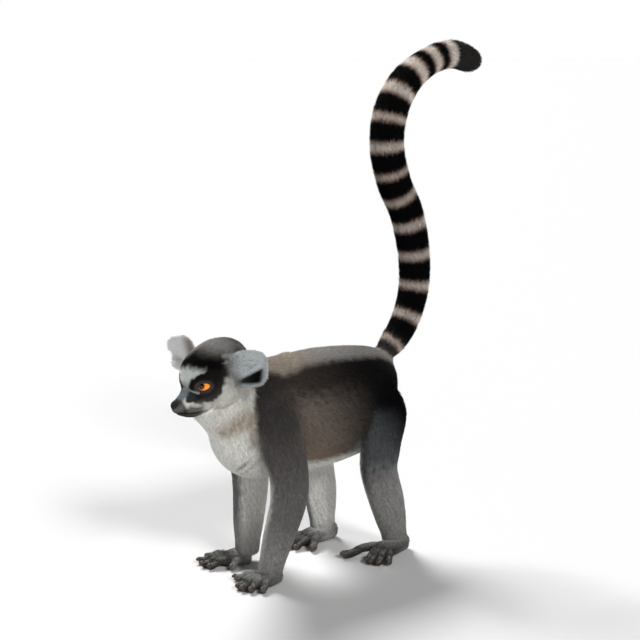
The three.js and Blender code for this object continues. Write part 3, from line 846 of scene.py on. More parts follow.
def above_saddle_edge(where):
    """Height over the lower edge of the saddle, as a share of the trunk's height. Over the bend at the
    withers it is measured down from the ridge."""
    _, y, z = where.points.T
    t, b = where.t["torso"], where.b["torso"]
    edge = np.interp(t, [0.1, 0.2, 0.35, 0.72, 0.82, 0.9], [0.78, 0.83, 0.84, 0.80, 0.86, 0.80])
    ridge = np.interp(y, [-235, -200, -172, -140], [327, 314, 309, 311])
    drop = np.interp(y, [-215, -175, -135], [14, 21, 15])
    return b - edge + ((z - ridge + drop) / 88 - b + edge) * step(-y, 112, 136)


def belly_edge(t):
    """How far below the middle of the trunk the pale belly starts, in ring heights."""
    at = [0, 0.45, 0.58, 0.66, 0.72, 0.78, 0.82, 0.9, 1]
    return np.interp(t, at, [0.68, 0.67, 0.56, 0.36, 0.25, 0.06, -0.10, -0.10, -0.1])


def torso_colour(where, c, rough):
    """Tan and grey saddle above, brown-grey flanks, near-black rump, cream belly, chest and throat. The
    borders are set by the ring's height b and the place along the trunk, and waver by a little noise."""
    x, y, z = where.points.T
    t, b = where.t["torso"], where.b["torso"]
    flank = mix(c["flank"], "flank_top", step(b + 0.03 * rough, 0.15, 0.60))
    flank = mix(flank, "flank_low", 0.8 * hump(y, -130, 70) * step(-b, 0.15, 0.6))
    flank = mix(flank, "shoulder", step(-y + 3 * rough, 150, 200))
    flank = mix(flank, c["rump"], step(y + 30 * b + 3 * rough, -140, -15) ** 0.8)
    saddle = mix(c["saddle"], "saddle_middle", step(y, -160, -90))
    saddle = mix(saddle, "saddle_hips", step(y, -90, -20))
    coat = mix(flank, saddle, step(above_saddle_edge(where) + 0.006 * rough, -0.07, 0.06))
    under = step(-b - belly_edge(t) + 0.01 * rough, -0.03, 0.14)
    near_head = step(z, 238, 268) * step(-y, 225, 240)
    coat = mix(coat, mix(c["belly"], "throat", near_head), under)
    band = (1 - step(near_segment(y, z, *CHEST_BAND), 4, 20)) * step(np.abs(x), 6, 24)
    coat = mix(coat, "chest_band", band * (0.72 + 0.12 * rough).clip(0, 1))
    streak = 1 - step(near_segment(y, z, *CHEST_STREAK), 2, 9)
    return mix(coat, "chest_streak", 0.7 * streak * under)


def limb_colour(where, part, c, rough):
    """Dark at the shoulder or hip, paler grey down to the wrist or ankle, and almost white inside."""
    t, b = where.t[part], where.b[part]
    a = where.a[part] * (1 if part.endswith("left") else -1)
    fore = part.startswith("arm")
    if fore:
        coat = mix("arm_top", "arm_middle", step(t, 0.10, 0.32))
        coat = mix(coat, c["limb"] * 0.88, step(t + 0.03 * rough, 0.26, 0.62))
    else:
        coat = mix("leg_top", "leg_middle", step(t + 0.10 * b, 0.16, 0.50))
        # partly painted light: the legs' grey is made 1.5 times lighter to brighten the shank, which lies
        # in shade
        coat = mix(coat, c["limb"] * 1.5, step(t + 0.03 * rough, 0.45, 0.70))
    coat = mix(coat, "limb_end", step(t, 0.66, 0.92))
    # painted shade: a dark band down the front of the thigh, where it folds against the flank
    if not fore:
        front = 0.85 * step(b, 0.80, 0.95) * step(t, 0.22, 0.3) * step(-t, -0.72, -0.6)
        coat = mix(coat, "thigh_front_shade", front)
    coat = mix(coat, "limb_fleck", 0.22 * step(rough, 0.5, 1.6) * step(t, 0.3, 0.5))
    if part == "arm_left":  # the pale side reaches round its front
        a = np.minimum(a, 1.0 - 1.6 * b + 0.55 * a)
    inner = step(-a + 0.04 * rough, *((0.20, 0.66) if fore else (0.0, 0.5))) * step(t, 0.30, 0.5)
    if fore:
        inner = inner * (1 - 0.6 * step(t, 0.72, 0.92))
    return mix(coat, "limb_inside", inner * (0.9 if fore else 0.95))


def tail_colour(where, c, rough):
    """Dark and pale rings by the length s along the tail, with a dark grey tip."""
    s = np.interp(where.t["tail"], *tail_arc())
    off = (np.abs(s[:, None] - DARK_RINGS) - DARK_HALF + 0.4 * rough[:, None]).min(1)
    dark = np.maximum(1 - step(off, -1.8, 1.0), step(s, TIP_FROM - 2, TIP_FROM + 2))
    # painted shade: the pale rings are darker towards the root of the tail (0.8 of their colour), lighter
    # further out
    pale = c["ring_pale"] * (0.80 + 0.25 * step(s, 250, 480))[:, None]
    pale = mix(pale, pale * (0.62, 0.50, 0.44), 1 - step(off, 0.5, 5))
    coat = mix(pale, c["ring_dark"], dark)
    coat = mix(coat, "tail_tip", step(s, TIP_FROM - 2, TIP_FROM + 8))
    return mix(coat, "tail_root", hump(s, 10, 24) * dark * 0.7)


def cap_colour(f, u, s, c, rough):
    """The cap over brow and crown: black in front, grey behind and at the temples."""
    side = np.abs(s)
    crest = u + 0.30 * side + 0.5 * np.maximum(-s, 0) - 0.42 * np.maximum(f - 5, 0) - 0.5 * rough
    top = mix(c["cap"], "crest", step(crest, 21, 29))
    top = mix(top, "crown", step(crest, 26, 38))
    top = mix(top, "crown_right", 0.6 * step(-s, 14, 28) * step(f, 5, 30))
    return mix(top, "temple", step(-f, -27, -20) * step(side, 22, 30) * (1 - step(u, 12, 24)))


def with_eye_patch(coat, points, sign, rough):
    """The dark patch round an eye, the bare lids in it, and the stroke and pale mark beside the nose."""
    at, axes = eye_frame(sign, LID_FACING)
    x, y, z = ((points - at) @ axes.T).T
    x = x * sign
    front = step(z, -16, -12)
    reach = np.interp(np.arctan2(y, x), PATCH_ANGLE, PATCH_REACH)
    inside = 1 - step(np.hypot(x, y) / reach + 0.035 * rough, 0.92, 1.09)
    spot = step(-x, 9, 15) * step(-y, 0, 3)
    shade = mix("patch", "patch_inner", spot)
    shade = mix(shade, "patch_lower", step(-y, 12, 17) * (1 - spot) * step(rough, -0.5, 1.0))
    shade = mix(shade, "eyelid", 1 - step(round_lids(x, y, LID_FOLD), 0.75, 1.05))
    coat = mix(coat, shade, inside * front)
    stroke = 1 - step(near_segment(x, y, *NOSE_STROKE), 0.4, 1.6)
    coat = mix(coat, "nose_stroke", stroke * front * 0.9)
    pale = 1 - step(near_segment(x, y, *NOSE_PALE), 1.2, 3.2)
    return mix(coat, "nose_pale", pale * front * 0.9)


def with_muzzle(coat, f, u, side):
    """Grey bridge and lips with a pale spot, dark tip of the nose, line of the mouth and chin."""
    bridge = step(f, 66, 74) * step(u, -10, -3) * (1 - step(side, 6, 10))
    coat = mix(coat, "bridge", bridge)
    lips = step(f, 58, 70) * step(-u, 9, 17)
    mouth = np.interp(f, MOUTH_AHEAD, MOUTH_UP)
    grey = mix("lips", "lips_back", step(-f, -76, -64))
    keep_pale = 1 - step(np.hypot((f - 74.5) / 7.0, (u + 16.8 - 0.55 * (f - 74.5)) / 2.6), 0.7, 1.25)
    coat = mix(coat, grey, lips * 0.92 * (1 - 0.9 * keep_pale))
    coat = mix(coat, "nose_tip", step(f, 85, 90) * 0.9)
    coat = mix(coat, "mouth", hump(u, mouth, 3.0) * step(f, 50, 58))
    chin = step(mouth - u, 0, 3) * step(f, 62, 72)
    return mix(coat, "chin", chin * 0.92)


def head_colour(where, c, rough):
    """In the head's frame (forward f, up u, left s): dark cap with a straight front over a pale forehead,
    a black patch round each eye that joins the cap at the temple, grey muzzle, cream cheeks."""
    f, u, s = in_head(where.points)
    side = np.abs(s)
    coat = mix("cheek", "forehead", step(u, 0, 14) * step(f, 30, 50))
    brow = 29.0 - 0.011 * s * s - 1.4 * np.maximum(side - 24, 0)
    coat = mix(coat, cap_colour(f, u, s, c, rough), step(u + 0.5 * rough, brow - 4.2, brow + 2.6) ** 0.8)
    coat = mix(coat, "nape", step(-f, 2, 22) * step(u, -14, 0))
    speck = 1 - step(np.hypot((f - 17) / 9, (u - 21) / 7), 0.75, 1.05)
    coat = mix(coat, "temple_fleck", speck * step(side, 22, 27) * step(-rough, -0.9, 0.3))
    for sign in (-1, 1):
        coat = with_eye_patch(coat, where.points, sign, rough)
    return with_muzzle(coat, f, u, side)


def ear_colour(where, part):
    """On the left a blue-grey lobe with dark flecks over a hollow painted black for its shade, with a grey
    rim; on the right pale all over. The backs are grey."""
    v, u, w = where.t[part], where.a[part], where.b[part]
    left = part == "ear_left"
    low = u if left else -u
    if left:
        fleck, _ = waves(where.points, *NOISES["ear_fleck"])
        coat = mix("lobe", "lobe_fleck", 0.8 * step(fleck, 0.9, 1.7))
        coat = mix(coat, "lobe_root", 0.7 * step(low, 0.1, 0.6) * step(-v, -0.5, -0.2))
        coat = mix(coat, "lobe_tip", step(v, 0.55, 0.9) * 0.6)
    else:
        coat = mix("ear_pale", "ear_root", 1 - step(v, 0.1, 0.5))
    hollow = ear_hollow(v, low) * (1 - step(low, 0.70, 1.0)) * (1 - step(v, 0.82, 1.0)) * step(w, -0.5, 0.5)
    # on the left the hollow is painted black as shade in the ear's cup; on the right it keeps its pale
    # colour
    coat = mix(coat, "hollow_left_shade" if left else "hollow_right", hollow * step(v, 0.14, 0.38))
    if left:
        coat = mix(coat, "ear_rim", step(low, 0.86, 0.99) * step(v, 0.3, 0.5))
    return mix(coat, "ear_back", step(-w, 0.0, 1.0) * (1 - step(v, 0.7, 0.95)))


def paw_colour(where, part):
    """Dark bare skin, grey above where short fur covers it, a painted highlight along the top of each
    digit, darker between the digits, painted shade in the creases at the joints and of small wrinkles, and
    tan at the tips."""
    x, y, z = where.points.T
    # noise for the painted shade of small wrinkles on the paws
    fine, _ = waves(where.points, *NOISES["paw_wrinkle_shade"])
    ridge, tips, crease_shade = np.zeros((3, len(z)))
    for digit, heading, radius in paw_rows(part)[2]:
        start, tip = digit[1, :2], digit[-1, :2]
        away = near_segment(x, y, start, tip)
        own = 1 - step(away, 0.35 * radius, 1.0 * radius)
        share = ((x - start[0]) * heading[0] + (y - start[1]) * heading[1]) / np.hypot(*(tip - start))
        # painted highlight along the top of each digit
        ridge = np.maximum(ridge, own * step(z, 5, 12) * step(share, -0.1, 0.15))
        tips = np.maximum(tips, own * step(share, 0.78, 0.98))
        # painted shade in the creases at the joints
        crease_shade = np.maximum(crease_shade, own * np.maximum(hump(share, 0.56, 0.09), hump(share, 0.86, 0.07)))
    coat = mix("paw_skin", "paw_top", step(z, 11, 24))
    coat = mix(coat, "digit_top_highlight", ridge * 0.85)
    coat = mix(coat, "digit_crease_shade", crease_shade * 0.7)
    # painted shade of small wrinkles: darker in patches, a little lighter between them
    coat = coat * (0.34 + 0.86 * step(fine, -1.2, 0.8))[:, None]
    return mix(coat, "digit_tip", 0.6 * tips * step(fine, -1.0, 0.5))


def markings(where, c):
    """The coat's colour at each point: every part's own colours, blended by its share of the point, and
    made a little lighter and darker in streaks."""
    rough, _ = waves(where.points, *NOISES["border"])
    colour = torso_colour(where, c, rough) * where.of("torso")[:, None]
    colour += head_colour(where, c, rough) * where.of("skull")[:, None]
    colour += tail_colour(where, c, rough) * where.of("tail")[:, None]
    for part in PART_NAMES:
        if part.startswith(("arm", "leg")):
            colour += limb_colour(where, part, c, rough) * where.of(part)[:, None]
        elif part.startswith("ear"):
            colour += ear_colour(where, part) * where.of(part)[:, None]
        elif part in PAWS:
            colour += paw_colour(where, part) * where.of(part)[:, None]
    streak, _ = waves(where.points * (1, 0.8, 0.45), *NOISES["streak"])
    depth = STREAK_DEPTH * (where.of("torso", "arm", "leg") + 0.4 * where.of("skull", "tail"))
    return np.clip(colour * (1 + depth * streak)[:, None], 0.002, 1)


# ---------------------------------------------------------------- the coat's lie, length and thickness


def torso_lie(where):
    """Backwards and down; steeper on the sides and the chest, and straight back over the nape."""
    _, y, z = where.points.T
    b = where.b["torso"]
    down = np.array([0, 0, -1.0])
    sideways = (1 - np.abs(b).clip(0, 1))[:, None]
    front = step(-y, 195, 235)[:, None] * step(-b, 0, 0.4)[:, None]
    way = -where.ahead["torso"] + down * (0.25 + 0.45 * sideways) + down * front * 0.8
    return mix(way, (0.0, 1.0, -0.12), step(hump(y, -178, 52) * step(z, 255, 285), 0, 0.45))


def head_lie(points):
    """Back from the nose, sideways from the middle line, down over the cheeks, parting round the eyes."""
    way = np.broadcast_to(-HEAD[0], points.shape).copy()
    f, u, s = in_head(points)
    way += HEAD[2] * (np.sign(s) * (0.35 * step(np.abs(s), 2, 12)))[:, None]
    way += HEAD[1] * (-0.7 * step(-u, -2, 24) * step(-f, -62, -40))[:, None]
    for sign in (-1, 1):
        away = points - head_point(EYE * (1, 1, sign))
        near = 1 - step(np.linalg.norm(away, axis=1), 13, 26)
        way = way * (1 - 0.75 * near)[:, None] + unit(away) * near[:, None]
    return way


def lie_of_coat(where, normals):
    """The direction the hair lies, along the skin: each part's own, blended by its share. On limbs it turns
    from down to along the limb; on the tail, ears and paws it lies along them."""
    lie = np.zeros_like(where.points)
    for column, part in enumerate(PART_NAMES):
        if part == "torso":
            way = torso_lie(where)
        elif part == "skull":
            way = head_lie(where.points)
        elif part.startswith(("arm", "leg")):
            way = mix((0, 0.35, -0.94), where.ahead[part], step(where.t[part], 0.06, 0.30))
        else:
            way = where.ahead[part]
        lie += way * where.share[:, column:column + 1]
    lie -= normals * (lie * normals).sum(1, keepdims=True)
    return unit(lie)


def coat_plan(where, lengths):
    """Length, width, rise of the tips and tufts per square millimetre at each point, each part's own value
    blended by its share. Bare places get none."""
    y = where.points[:, 1]
    b = where.b["torso"]
    f, u, _ = in_head(where.points)

    def own(part, *values):
        return np.column_stack([np.broadcast_to(v, len(y)) for v in values]) * where.of(part)[:, None]

    pale = step(-y, 170, 215) * step(-b, -0.2, 0.2)
    chest_edge = hump(-b - belly_edge(where.t["torso"]), 0.05, 0.22) * step(-y, 165, 195)
    edge = np.maximum(hump(above_saddle_edge(where), 0, 0.16), 0.8 * chest_edge)
    rise = 3.2 - 1.6 * pale - 1.2 * edge - 1.1 * step(y, -70, 0) * (1 - edge)
    plan = own("torso", lengths["body"] * (1 - 0.35 * pale - 0.35 * edge), 0.80 - 0.14 * pale - 0.12 * edge,
               rise, 0.70 + 0.25 * pale + 0.25 * edge)
    plan += own("tail", lengths["tail"] * 0.8, 0.8, 5.0, 0.95)
    face, muzzle = step(f, 30, 62), step(f, 60, 76)
    jowl = (1 - step(f, 15, 45)) * (1 - step(u, -20, 0))
    long = lengths["face"] * (1.25 - 0.5 * face + 0.6 * jowl) * (1 - 0.5 * muzzle)
    plan += own("skull", long * (1 + 0.5 * step(-f, -20, 20)), 0.72 - 0.22 * face,
                2.2 - 0.9 * face - 0.7 * muzzle, 1.3 + 0.5 * face)
    for part in PART_NAMES:
        if part.startswith(("arm", "leg")):
            low = step(where.t[part], 0.35, 0.95)
            plan += own(part, lengths["limb"] * (1.3 - 0.6 * low), 0.80 - 0.20 * low, 2.4 - 1.1 * low,
                        0.72 + 0.5 * low)
        elif part.startswith("ear"):
            rim = np.clip(step(np.abs(where.a[part]), 0.75, 0.98) + step(where.t[part], 0.85, 1), 0, 1)
            plan += own(part, 3.6 + 2.2 * rim, 0.5, 1.1 + 0.4 * rim, 1.8 + 1.0 * rim)
        elif part in PAWS:
            plan += own(part, 3.6, 0.5, 1.1, 1.6 * step(where.points[:, 2], 9, 16))
    bare = where.of("skull") * step(f, 90, 92.5) * step(u, -17, -14)
    for sign in (-1, 1):
        at, axes = eye_frame(sign, LID_FACING)
        x, y, z = ((where.points - at) @ axes.T).T
        bare = np.maximum(bare, (1 - step(round_lids(x, y, LID_FOLD), 0.92, 1.04)) * (z > -2))
    plan[:, 3] *= 1 - np.clip(bare, 0, 1)
    return plan


# ---------------------------------------------------------------- skin


def modified(obj):
    """A new mesh as an object's modifiers make it; the object and its own mesh go."""
    mesh = obj.data
    done = bpy.data.meshes.new_from_object(obj.evaluated_get(bpy.context.evaluated_depsgraph_get()))
    bpy.data.objects.remove(obj)
    bpy.data.meshes.remove(mesh)
    return done


def voxel_merged(verts, tris, size):
    """The union of overlapping closed solids, as Blender's voxel remesh makes it, in millimetres."""
    obj = new_object("skin_solids", new_mesh("skin_solids", verts, tris))
    remesh = obj.modifiers.new("merge", "REMESH")
    remesh.mode = "VOXEL"
    remesh.voxel_size = size
    remesh.adaptivity = 0
    return modified(obj)


def smoothed(verts, edges, strength, rounds, ways=(0.5,)):
    """Each round moves every point towards the mean of its neighbours by each of the ways in turn, times
    its strength. A second way that is negative moves it back again, so that the form keeps its size."""
    a, b = np.concatenate([edges, edges[:, ::-1]]).T
    count = np.maximum(np.bincount(a, minlength=len(verts)), 1)[:, None]
    for _ in range(rounds):
        for way in ways:
            mean = np.column_stack([np.bincount(a, verts[b, k], len(verts)) for k in range(3)]) / count
            verts = verts + (mean - verts) * (way * strength)[:, None]
    return verts


def sculpted(verts, normals):
    """Draws the skin in behind the eyeballs, presses in the line of the mouth, makes the paws a little
    uneven and rests them on the floor."""
    verts = verts.copy()
    for sign in (-1, 1):
        at, axes = eye_frame(sign, LID_FACING)
        local = (verts - at) @ axes.T
        ring = round_lids(local[:, 0], local[:, 1], 1.6)
        sunk = (1 - step(ring, 0.9, 1.35)) * step(local[:, 2], 0, 3) * (np.abs(local).max(1) < 25)
        reach = np.maximum(np.linalg.norm(local, axis=1), 1e-6)
        target = local / reach[:, None] * (EYE_RADIUS - SOCKET_DEPTH)
        local = local + (target - local) * sunk[:, None]
        verts = np.where(sunk[:, None] > 0, at + local @ axes, verts)
    f, u, _ = in_head(verts)
    mouth = np.interp(f, MOUTH_AHEAD, MOUTH_UP)
    groove = hump(u, mouth, 2.0) * step(f, 52, 60) * (1 - step(f, 97, 99)) * (verts[:, 1] < -270)
    verts -= normals * (MOUTH_DEPTH * groove)[:, None]
    low = (1 - step(verts[:, 2], 18, 28)) * step(verts[:, 2], 1, 4)
    verts += normals * (low * PAW_ROUGHNESS * waves(verts, *NOISES["paw_bumps"])[0])[:, None]
    verts[:, 2] = np.maximum(verts[:, 2], 0.0)
    return verts


# The lids' section: share of the way outwards, and height over the eyeball's surface in millimetres
LID_SECTION = np.array([
    (0.00, -0.8), (0.02, 0.15), (0.10, 0.75), (0.25, 1.05), (0.45, 0.95), (0.62, 1.15), (0.80, 0.85),
    (1.0, 0.1), (1.25, -1.4), (1.5, -3.6), (1.2, -4.2), (0.8, -3.4), (0.3, -2.6),
])
LID_WIDTH = 5.2


def lid_ring(sign):
    """The lids: rings round the opening. The first lies on its edge just under the eyeball's surface; the
    next ones rise over a rounded rim, fall away to the face and come back underneath. The corners are drawn
    out by a power of the sine."""
    at, axes = eye_frame(sign, LID_FACING)
    angle = np.linspace(0, 2 * np.pi, 72, endpoint=False)
    c, s = np.cos(angle), np.sin(angle)
    out = LID_SECTION[:, :1] * LID_WIDTH
    x = (LID_HALF[0] + out) * c
    y = (LID_HALF[1] * np.where(s > 0, 1.0, 0.94) * np.abs(s) ** 1.12 * np.sign(s)) + out * s
    flat = np.hypot(x, y)
    fold = 0.22 * np.sin(LID_SECTION[:, :1] * 17) * step(np.abs(s), 0.2, 0.7)
    radius = EYE_RADIUS + LID_SECTION[:, 1:] + fold
    z = np.sqrt(np.maximum(radius**2 - flat**2, 0.0)) - np.maximum(flat - radius, 0) * 0.9
    verts = at + np.stack([x, y, z], -1).reshape(-1, 3) @ axes
    return verts, grid_triangles(len(LID_SECTION), len(angle), wrap=True)


def nose_leather():
    """The bare nose: a rounded pad with a groove down its middle and a nostril pressed in on each side."""
    verts, tris = unit_globe()
    x, y, z = verts.T
    pad = np.column_stack([x * 6.6, y * 6.8, z * 6.4])
    pad[:, 2] *= 1 - 0.25 * (z < 0) * np.abs(z)
    front = step(y, 0.2, 0.8)
    pad[:, 1] -= 0.7 * hump(x, 0, 0.13) * front * step(-z, -0.3, 0.5)
    for sign in (-1, 1):
        hole = np.hypot((x - 0.46 * sign) / 0.25, (z + 0.10 - 0.25 * np.abs(x)) / 0.20)
        pad[:, 1] -= 2.2 * (1 - step(hole, 0.25, 1.0)) * front
        pad[:, 1] += 0.5 * hump(hole, 1.25, 0.55) * front
    local = np.column_stack([pad[:, 1] + 93.6, pad[:, 2] - 5.6, pad[:, 0]])
    return head_point(local), tris[:, ::-1]


def on_ears(points):
    """1 on the ears and 0 elsewhere, smooth between."""
    on = np.zeros(len(points))
    for side in SIDES:
        v, _, _, distance, _ = ear_place(f"ear_{side}", points)
        on = np.maximum(on, (1 - step(distance, 2, 7)) * step(v, 0.12, 0.3))
    return on


def protected_decimate(mesh, keep, ratio):
    """Blender's collapse decimation, which spares points by `keep`, from 0 to 1, in steps of a quarter."""
    obj = new_object("skin_dense", mesh)
    group = obj.vertex_groups.new(name="plain")
    levels = np.round((1 - keep) * 4).astype(int)
    for level in range(1, 5):
        group.add(np.flatnonzero(levels == level).tolist(), level / 4, "REPLACE")
    cut = obj.modifiers.new("thin", "DECIMATE")
    cut.ratio = ratio
    cut.vertex_group = "plain"
    cut.use_collapse_triangulate = True
    return modified(obj)


# ---------------------------------------------------------------- tufts


def scatter(tris, weight, count, rng):
    """Roots over triangles: even steps through the running total of weight, each moved at random within its
    step, and a random place inside the triangle found. Returns triangle numbers and corner shares."""
    total = np.cumsum(weight)
    at = (np.arange(count) + rng.random(count)) / count * total[-1]
    pick = np.minimum(np.searchsorted(total, at), len(tris) - 1)
    r = np.sqrt(rng.random(count))
    q = rng.random(count)
    return pick, np.column_stack([1 - r, r * (1 - q), r * q])


def tuft_mesh(name, root, normal, way, plan, shades, uv, rng):
    """One mesh of tufts. Each is a point sunk in the skin, a three-sided ring part of the way along and up,
    and a point at the tip. The shades are the coat's colours at ring and tip."""
    n = len(root)
    length = (plan[:, 0] * rng.uniform(0.75, 1.2, n))[:, None]
    width = (plan[:, 1] * rng.uniform(0.75, 1.25, n))[:, None]
    rise = (plan[:, 2] * rng.uniform(0.6, 1.1, n))[:, None]
    across = unit(np.cross(normal, way))
    way = unit(way + across * rng.normal(0, 0.13, n)[:, None])
    across = unit(np.cross(normal, way))
    middle = root + way * length * RING_AT + normal * rise * RING_RISE
    bend = across * (rng.normal(0, 0.05, n)[:, None] * length)
    verts = np.empty((n, 5, 3))
    verts[:, 0] = root - normal * ROOT_SUNK
    for k, (side, out) in enumerate([(-0.5, -0.1), (0.5, -0.1), (0.0, 0.3)]):
        verts[:, 1 + k] = middle + across * (side * width) + normal * (out * width)
    verts[:, 4] = root + way * length + normal * rise + bend
    verts[..., 2] = np.maximum(verts[..., 2], 0.3)
    one = np.array([(0, 2, 1), (0, 3, 2), (0, 1, 3), (1, 2, 4), (2, 3, 4), (3, 1, 4)])
    tris = (one[None] + (np.arange(n) * 5)[:, None, None]).reshape(-1, 3)
    mesh = new_mesh(name, to_model(verts.reshape(-1, 3)), tris)
    tone = rng.normal(1.0, 0.08, n).clip(0.6, 1.5)[:, None]
    ring, tip = shades
    # painted shade at the root of each tuft, darker than its ring
    rgb = np.stack([ring * ROOT_PAINTED_SHADE, *[ring * RING_TONE] * 3, tip * TIP_TONE], 1) * tone[..., None]
    colour_attribute(mesh, "coat", rgb.reshape(-1, 3).clip(0, 1))
    spot = np.array([(0, -1), (-1, -0.2), (1, -0.2), (0, 0.1), (0, 1)]) * 0.0014
    patch = (uv[:, None, :] + spot[None]).reshape(-1, 2)
    layer = mesh.uv_layers.new(name="OFBake")
    layer.data.foreach_set("uv", patch[tris.ravel()].astype(np.float32).ravel())
    return mesh


# ---------------------------------------------------------------- materials


def node(tree, kind, **values):
    """A node with some of its settings given by name, and inputs by in_ and their name or number."""
    made = tree.nodes.new(kind)
    for name, value in values.items():
        if name.startswith("in_"):
            key = name[3:].replace("_", " ")
            made.inputs[int(key) if key.isdigit() else key].default_value = value
        else:
            setattr(made, name, value)
    return made


def wire(tree, *links):
    """Links between nodes, each as node, output, node, input."""
    for source, out, target, into in links:
        tree.links.new(source.outputs[out], target.inputs[into])


def new_material(name, **inputs):
    """A material, its node tree and its shader, with some of the shader's inputs given by name."""
    material = bpy.data.materials.new(name)
    material.use_nodes = True
    shader = material.node_tree.nodes["Principled BSDF"]
    for key, value in inputs.items():
        shader.inputs[key.replace("_", " ")].default_value = value
    return material, material.node_tree, shader


def mottle_group():
    """Colour variation: the colour is multiplied by 1 + amount times noise at two scales."""
    found = bpy.data.node_groups.get("coat_mottle")
    if found:
        return found
    group = bpy.data.node_groups.new("coat_mottle", "ShaderNodeTree")
    socket = group.interface.new_socket
    socket(name="Colour", in_out="INPUT", socket_type="NodeSocketColor").default_value = (1, 1, 1, 1)
    socket(name="Scale", in_out="INPUT", socket_type="NodeSocketFloat").default_value = 120.0
    socket(name="Amount", in_out="INPUT", socket_type="NodeSocketFloat").default_value = 0.3
    socket(name="Colour", in_out="OUTPUT", socket_type="NodeSocketColor")
    socket(name="Height", in_out="OUTPUT", socket_type="NodeSocketFloat")
    start, end = node(group, "NodeGroupInput"), node(group, "NodeGroupOutput")
    place = node(group, "ShaderNodeTexCoord")
    noise = node(group, "ShaderNodeTexNoise", in_Detail=3.0, in_Roughness=0.6)
    fine = node(group, "ShaderNodeTexNoise", in_Detail=2.0)
    faster = node(group, "ShaderNodeMath", operation="MULTIPLY", in_1=6.0)
    both = node(group, "ShaderNodeMath", operation="ADD")
    centred = node(group, "ShaderNodeMath", operation="SUBTRACT", in_1=1.0)
    scaled = node(group, "ShaderNodeMath", operation="MULTIPLY_ADD", in_2=1.0)
    tint = node(group, "ShaderNodeVectorMath", operation="SCALE")
    wire(
        group,
        (place, "Object", noise, "Vector"), (place, "Object", fine, "Vector"),
        (start, "Scale", noise, "Scale"), (start, "Scale", faster, 0), (faster, 0, fine, "Scale"),
        (noise, "Fac", both, 0), (fine, "Fac", both, 1), (both, 0, centred, 0), (centred, 0, scaled, 0),
        (start, "Amount", scaled, 1), (start, "Colour", tint, 0), (scaled, 0, tint, "Scale"),
        (tint, "Vector", end, "Colour"), (both, 0, end, "Height"),
    )
    return group


def mottled_material(name, roughness, scale, amount, bump=0, depth=0.0004, specular=0.5, rgb=None):
    """A material in the piece's own markings, or in one colour, varied with noise. The noise also raises a
    bump of that depth in metres."""
    found = bpy.data.materials.get(name)
    if found:
        return found
    material, tree, shader = new_material(name, Roughness=roughness, Specular_IOR_Level=specular)
    mottle = node(tree, "ShaderNodeGroup", node_tree=mottle_group(), in_Scale=scale, in_Amount=amount)
    if rgb:
        mottle.inputs["Colour"].default_value = (*rgb, 1)
    else:
        wire(tree, (node(tree, "ShaderNodeAttribute", attribute_name="coat"), "Color", mottle, "Colour"))
    wire(tree, (mottle, "Colour", shader, "Base Color"))
    if bump:
        raised = node(tree, "ShaderNodeBump", in_Strength=bump, in_Distance=depth)
        wire(tree, (mottle, "Height", raised, "Height"), (raised, "Normal", shader, "Normal"))
    return material


def eye_material(iris):
    """On the eyeball's own map, whose V is the angle from the pupil's middle: a black pupil, an iris with
    fine streaks that is darker at its rim, and a dark brown white of the eye."""
    material, tree, shader = new_material(
        "eye_glass", Roughness=0.06, IOR=1.45, Coat_Weight=0.35, Coat_Roughness=0.03
    )
    iris = np.array(iris)
    ramp = node(tree, "ShaderNodeValToRGB")
    stops = ramp.color_ramp.elements
    stops[0].position, stops[0].color = 0.0, (0.004, 0.003, 0.003, 1)
    stops[1].position, stops[1].color = 1.0, (0.020, 0.008, 0.004, 1)
    for place, shade in (
        (0.118, (0.004, 0.003, 0.003)),
        (0.135, iris * (0.55, 0.42, 0.4)),
        (0.17, iris),
        (0.30, iris * (1.0, 1.15, 1.0)),
        (0.41, iris * (0.72, 0.55, 0.5)),
        (0.455, (0.05, 0.015, 0.004)),
        (0.49, (0.028, 0.012, 0.007)),
    ):
        stops.new(place).color = (*np.clip(shade, 0, 1), 1)
    uv = node(tree, "ShaderNodeUVMap", uv_map="sight")
    parts = node(tree, "ShaderNodeSeparateXYZ")
    stretch = node(tree, "ShaderNodeVectorMath", operation="MULTIPLY", in_1=(70.0, 5.0, 1.0))
    streaks = node(tree, "ShaderNodeTexNoise", in_Scale=1.0, in_Detail=4.0, in_Roughness=0.7)
    dim = node(tree, "ShaderNodeMath", operation="MULTIPLY_ADD", in_1=1.3, in_2=0.35)
    tint = node(tree, "ShaderNodeVectorMath", operation="SCALE")
    wire(
        tree,
        (uv, "UV", parts, 0), (parts, "Y", ramp, "Fac"), (uv, "UV", stretch, 0),
        (stretch, "Vector", streaks, "Vector"), (streaks, "Fac", dim, 0), (ramp, "Color", tint, 0),
        (dim, 0, tint, "Scale"), (tint, "Vector", shader, "Base Color"),
    )
    return material


# ---------------------------------------------------------------- operators

SKIN = {}  # what the skin's operator works out for the coat's

FLESH = ["head", "neck", "trunk", *(f"tail_{part}" for part in ("root", "lower", "middle", "upper", "tip"))]
FLESH += [
    f"{part}_{side}"
    for part in ("ear", "upper_arm", "forearm", "hand", "thigh", "shank", "foot")
    for side in SIDES
]


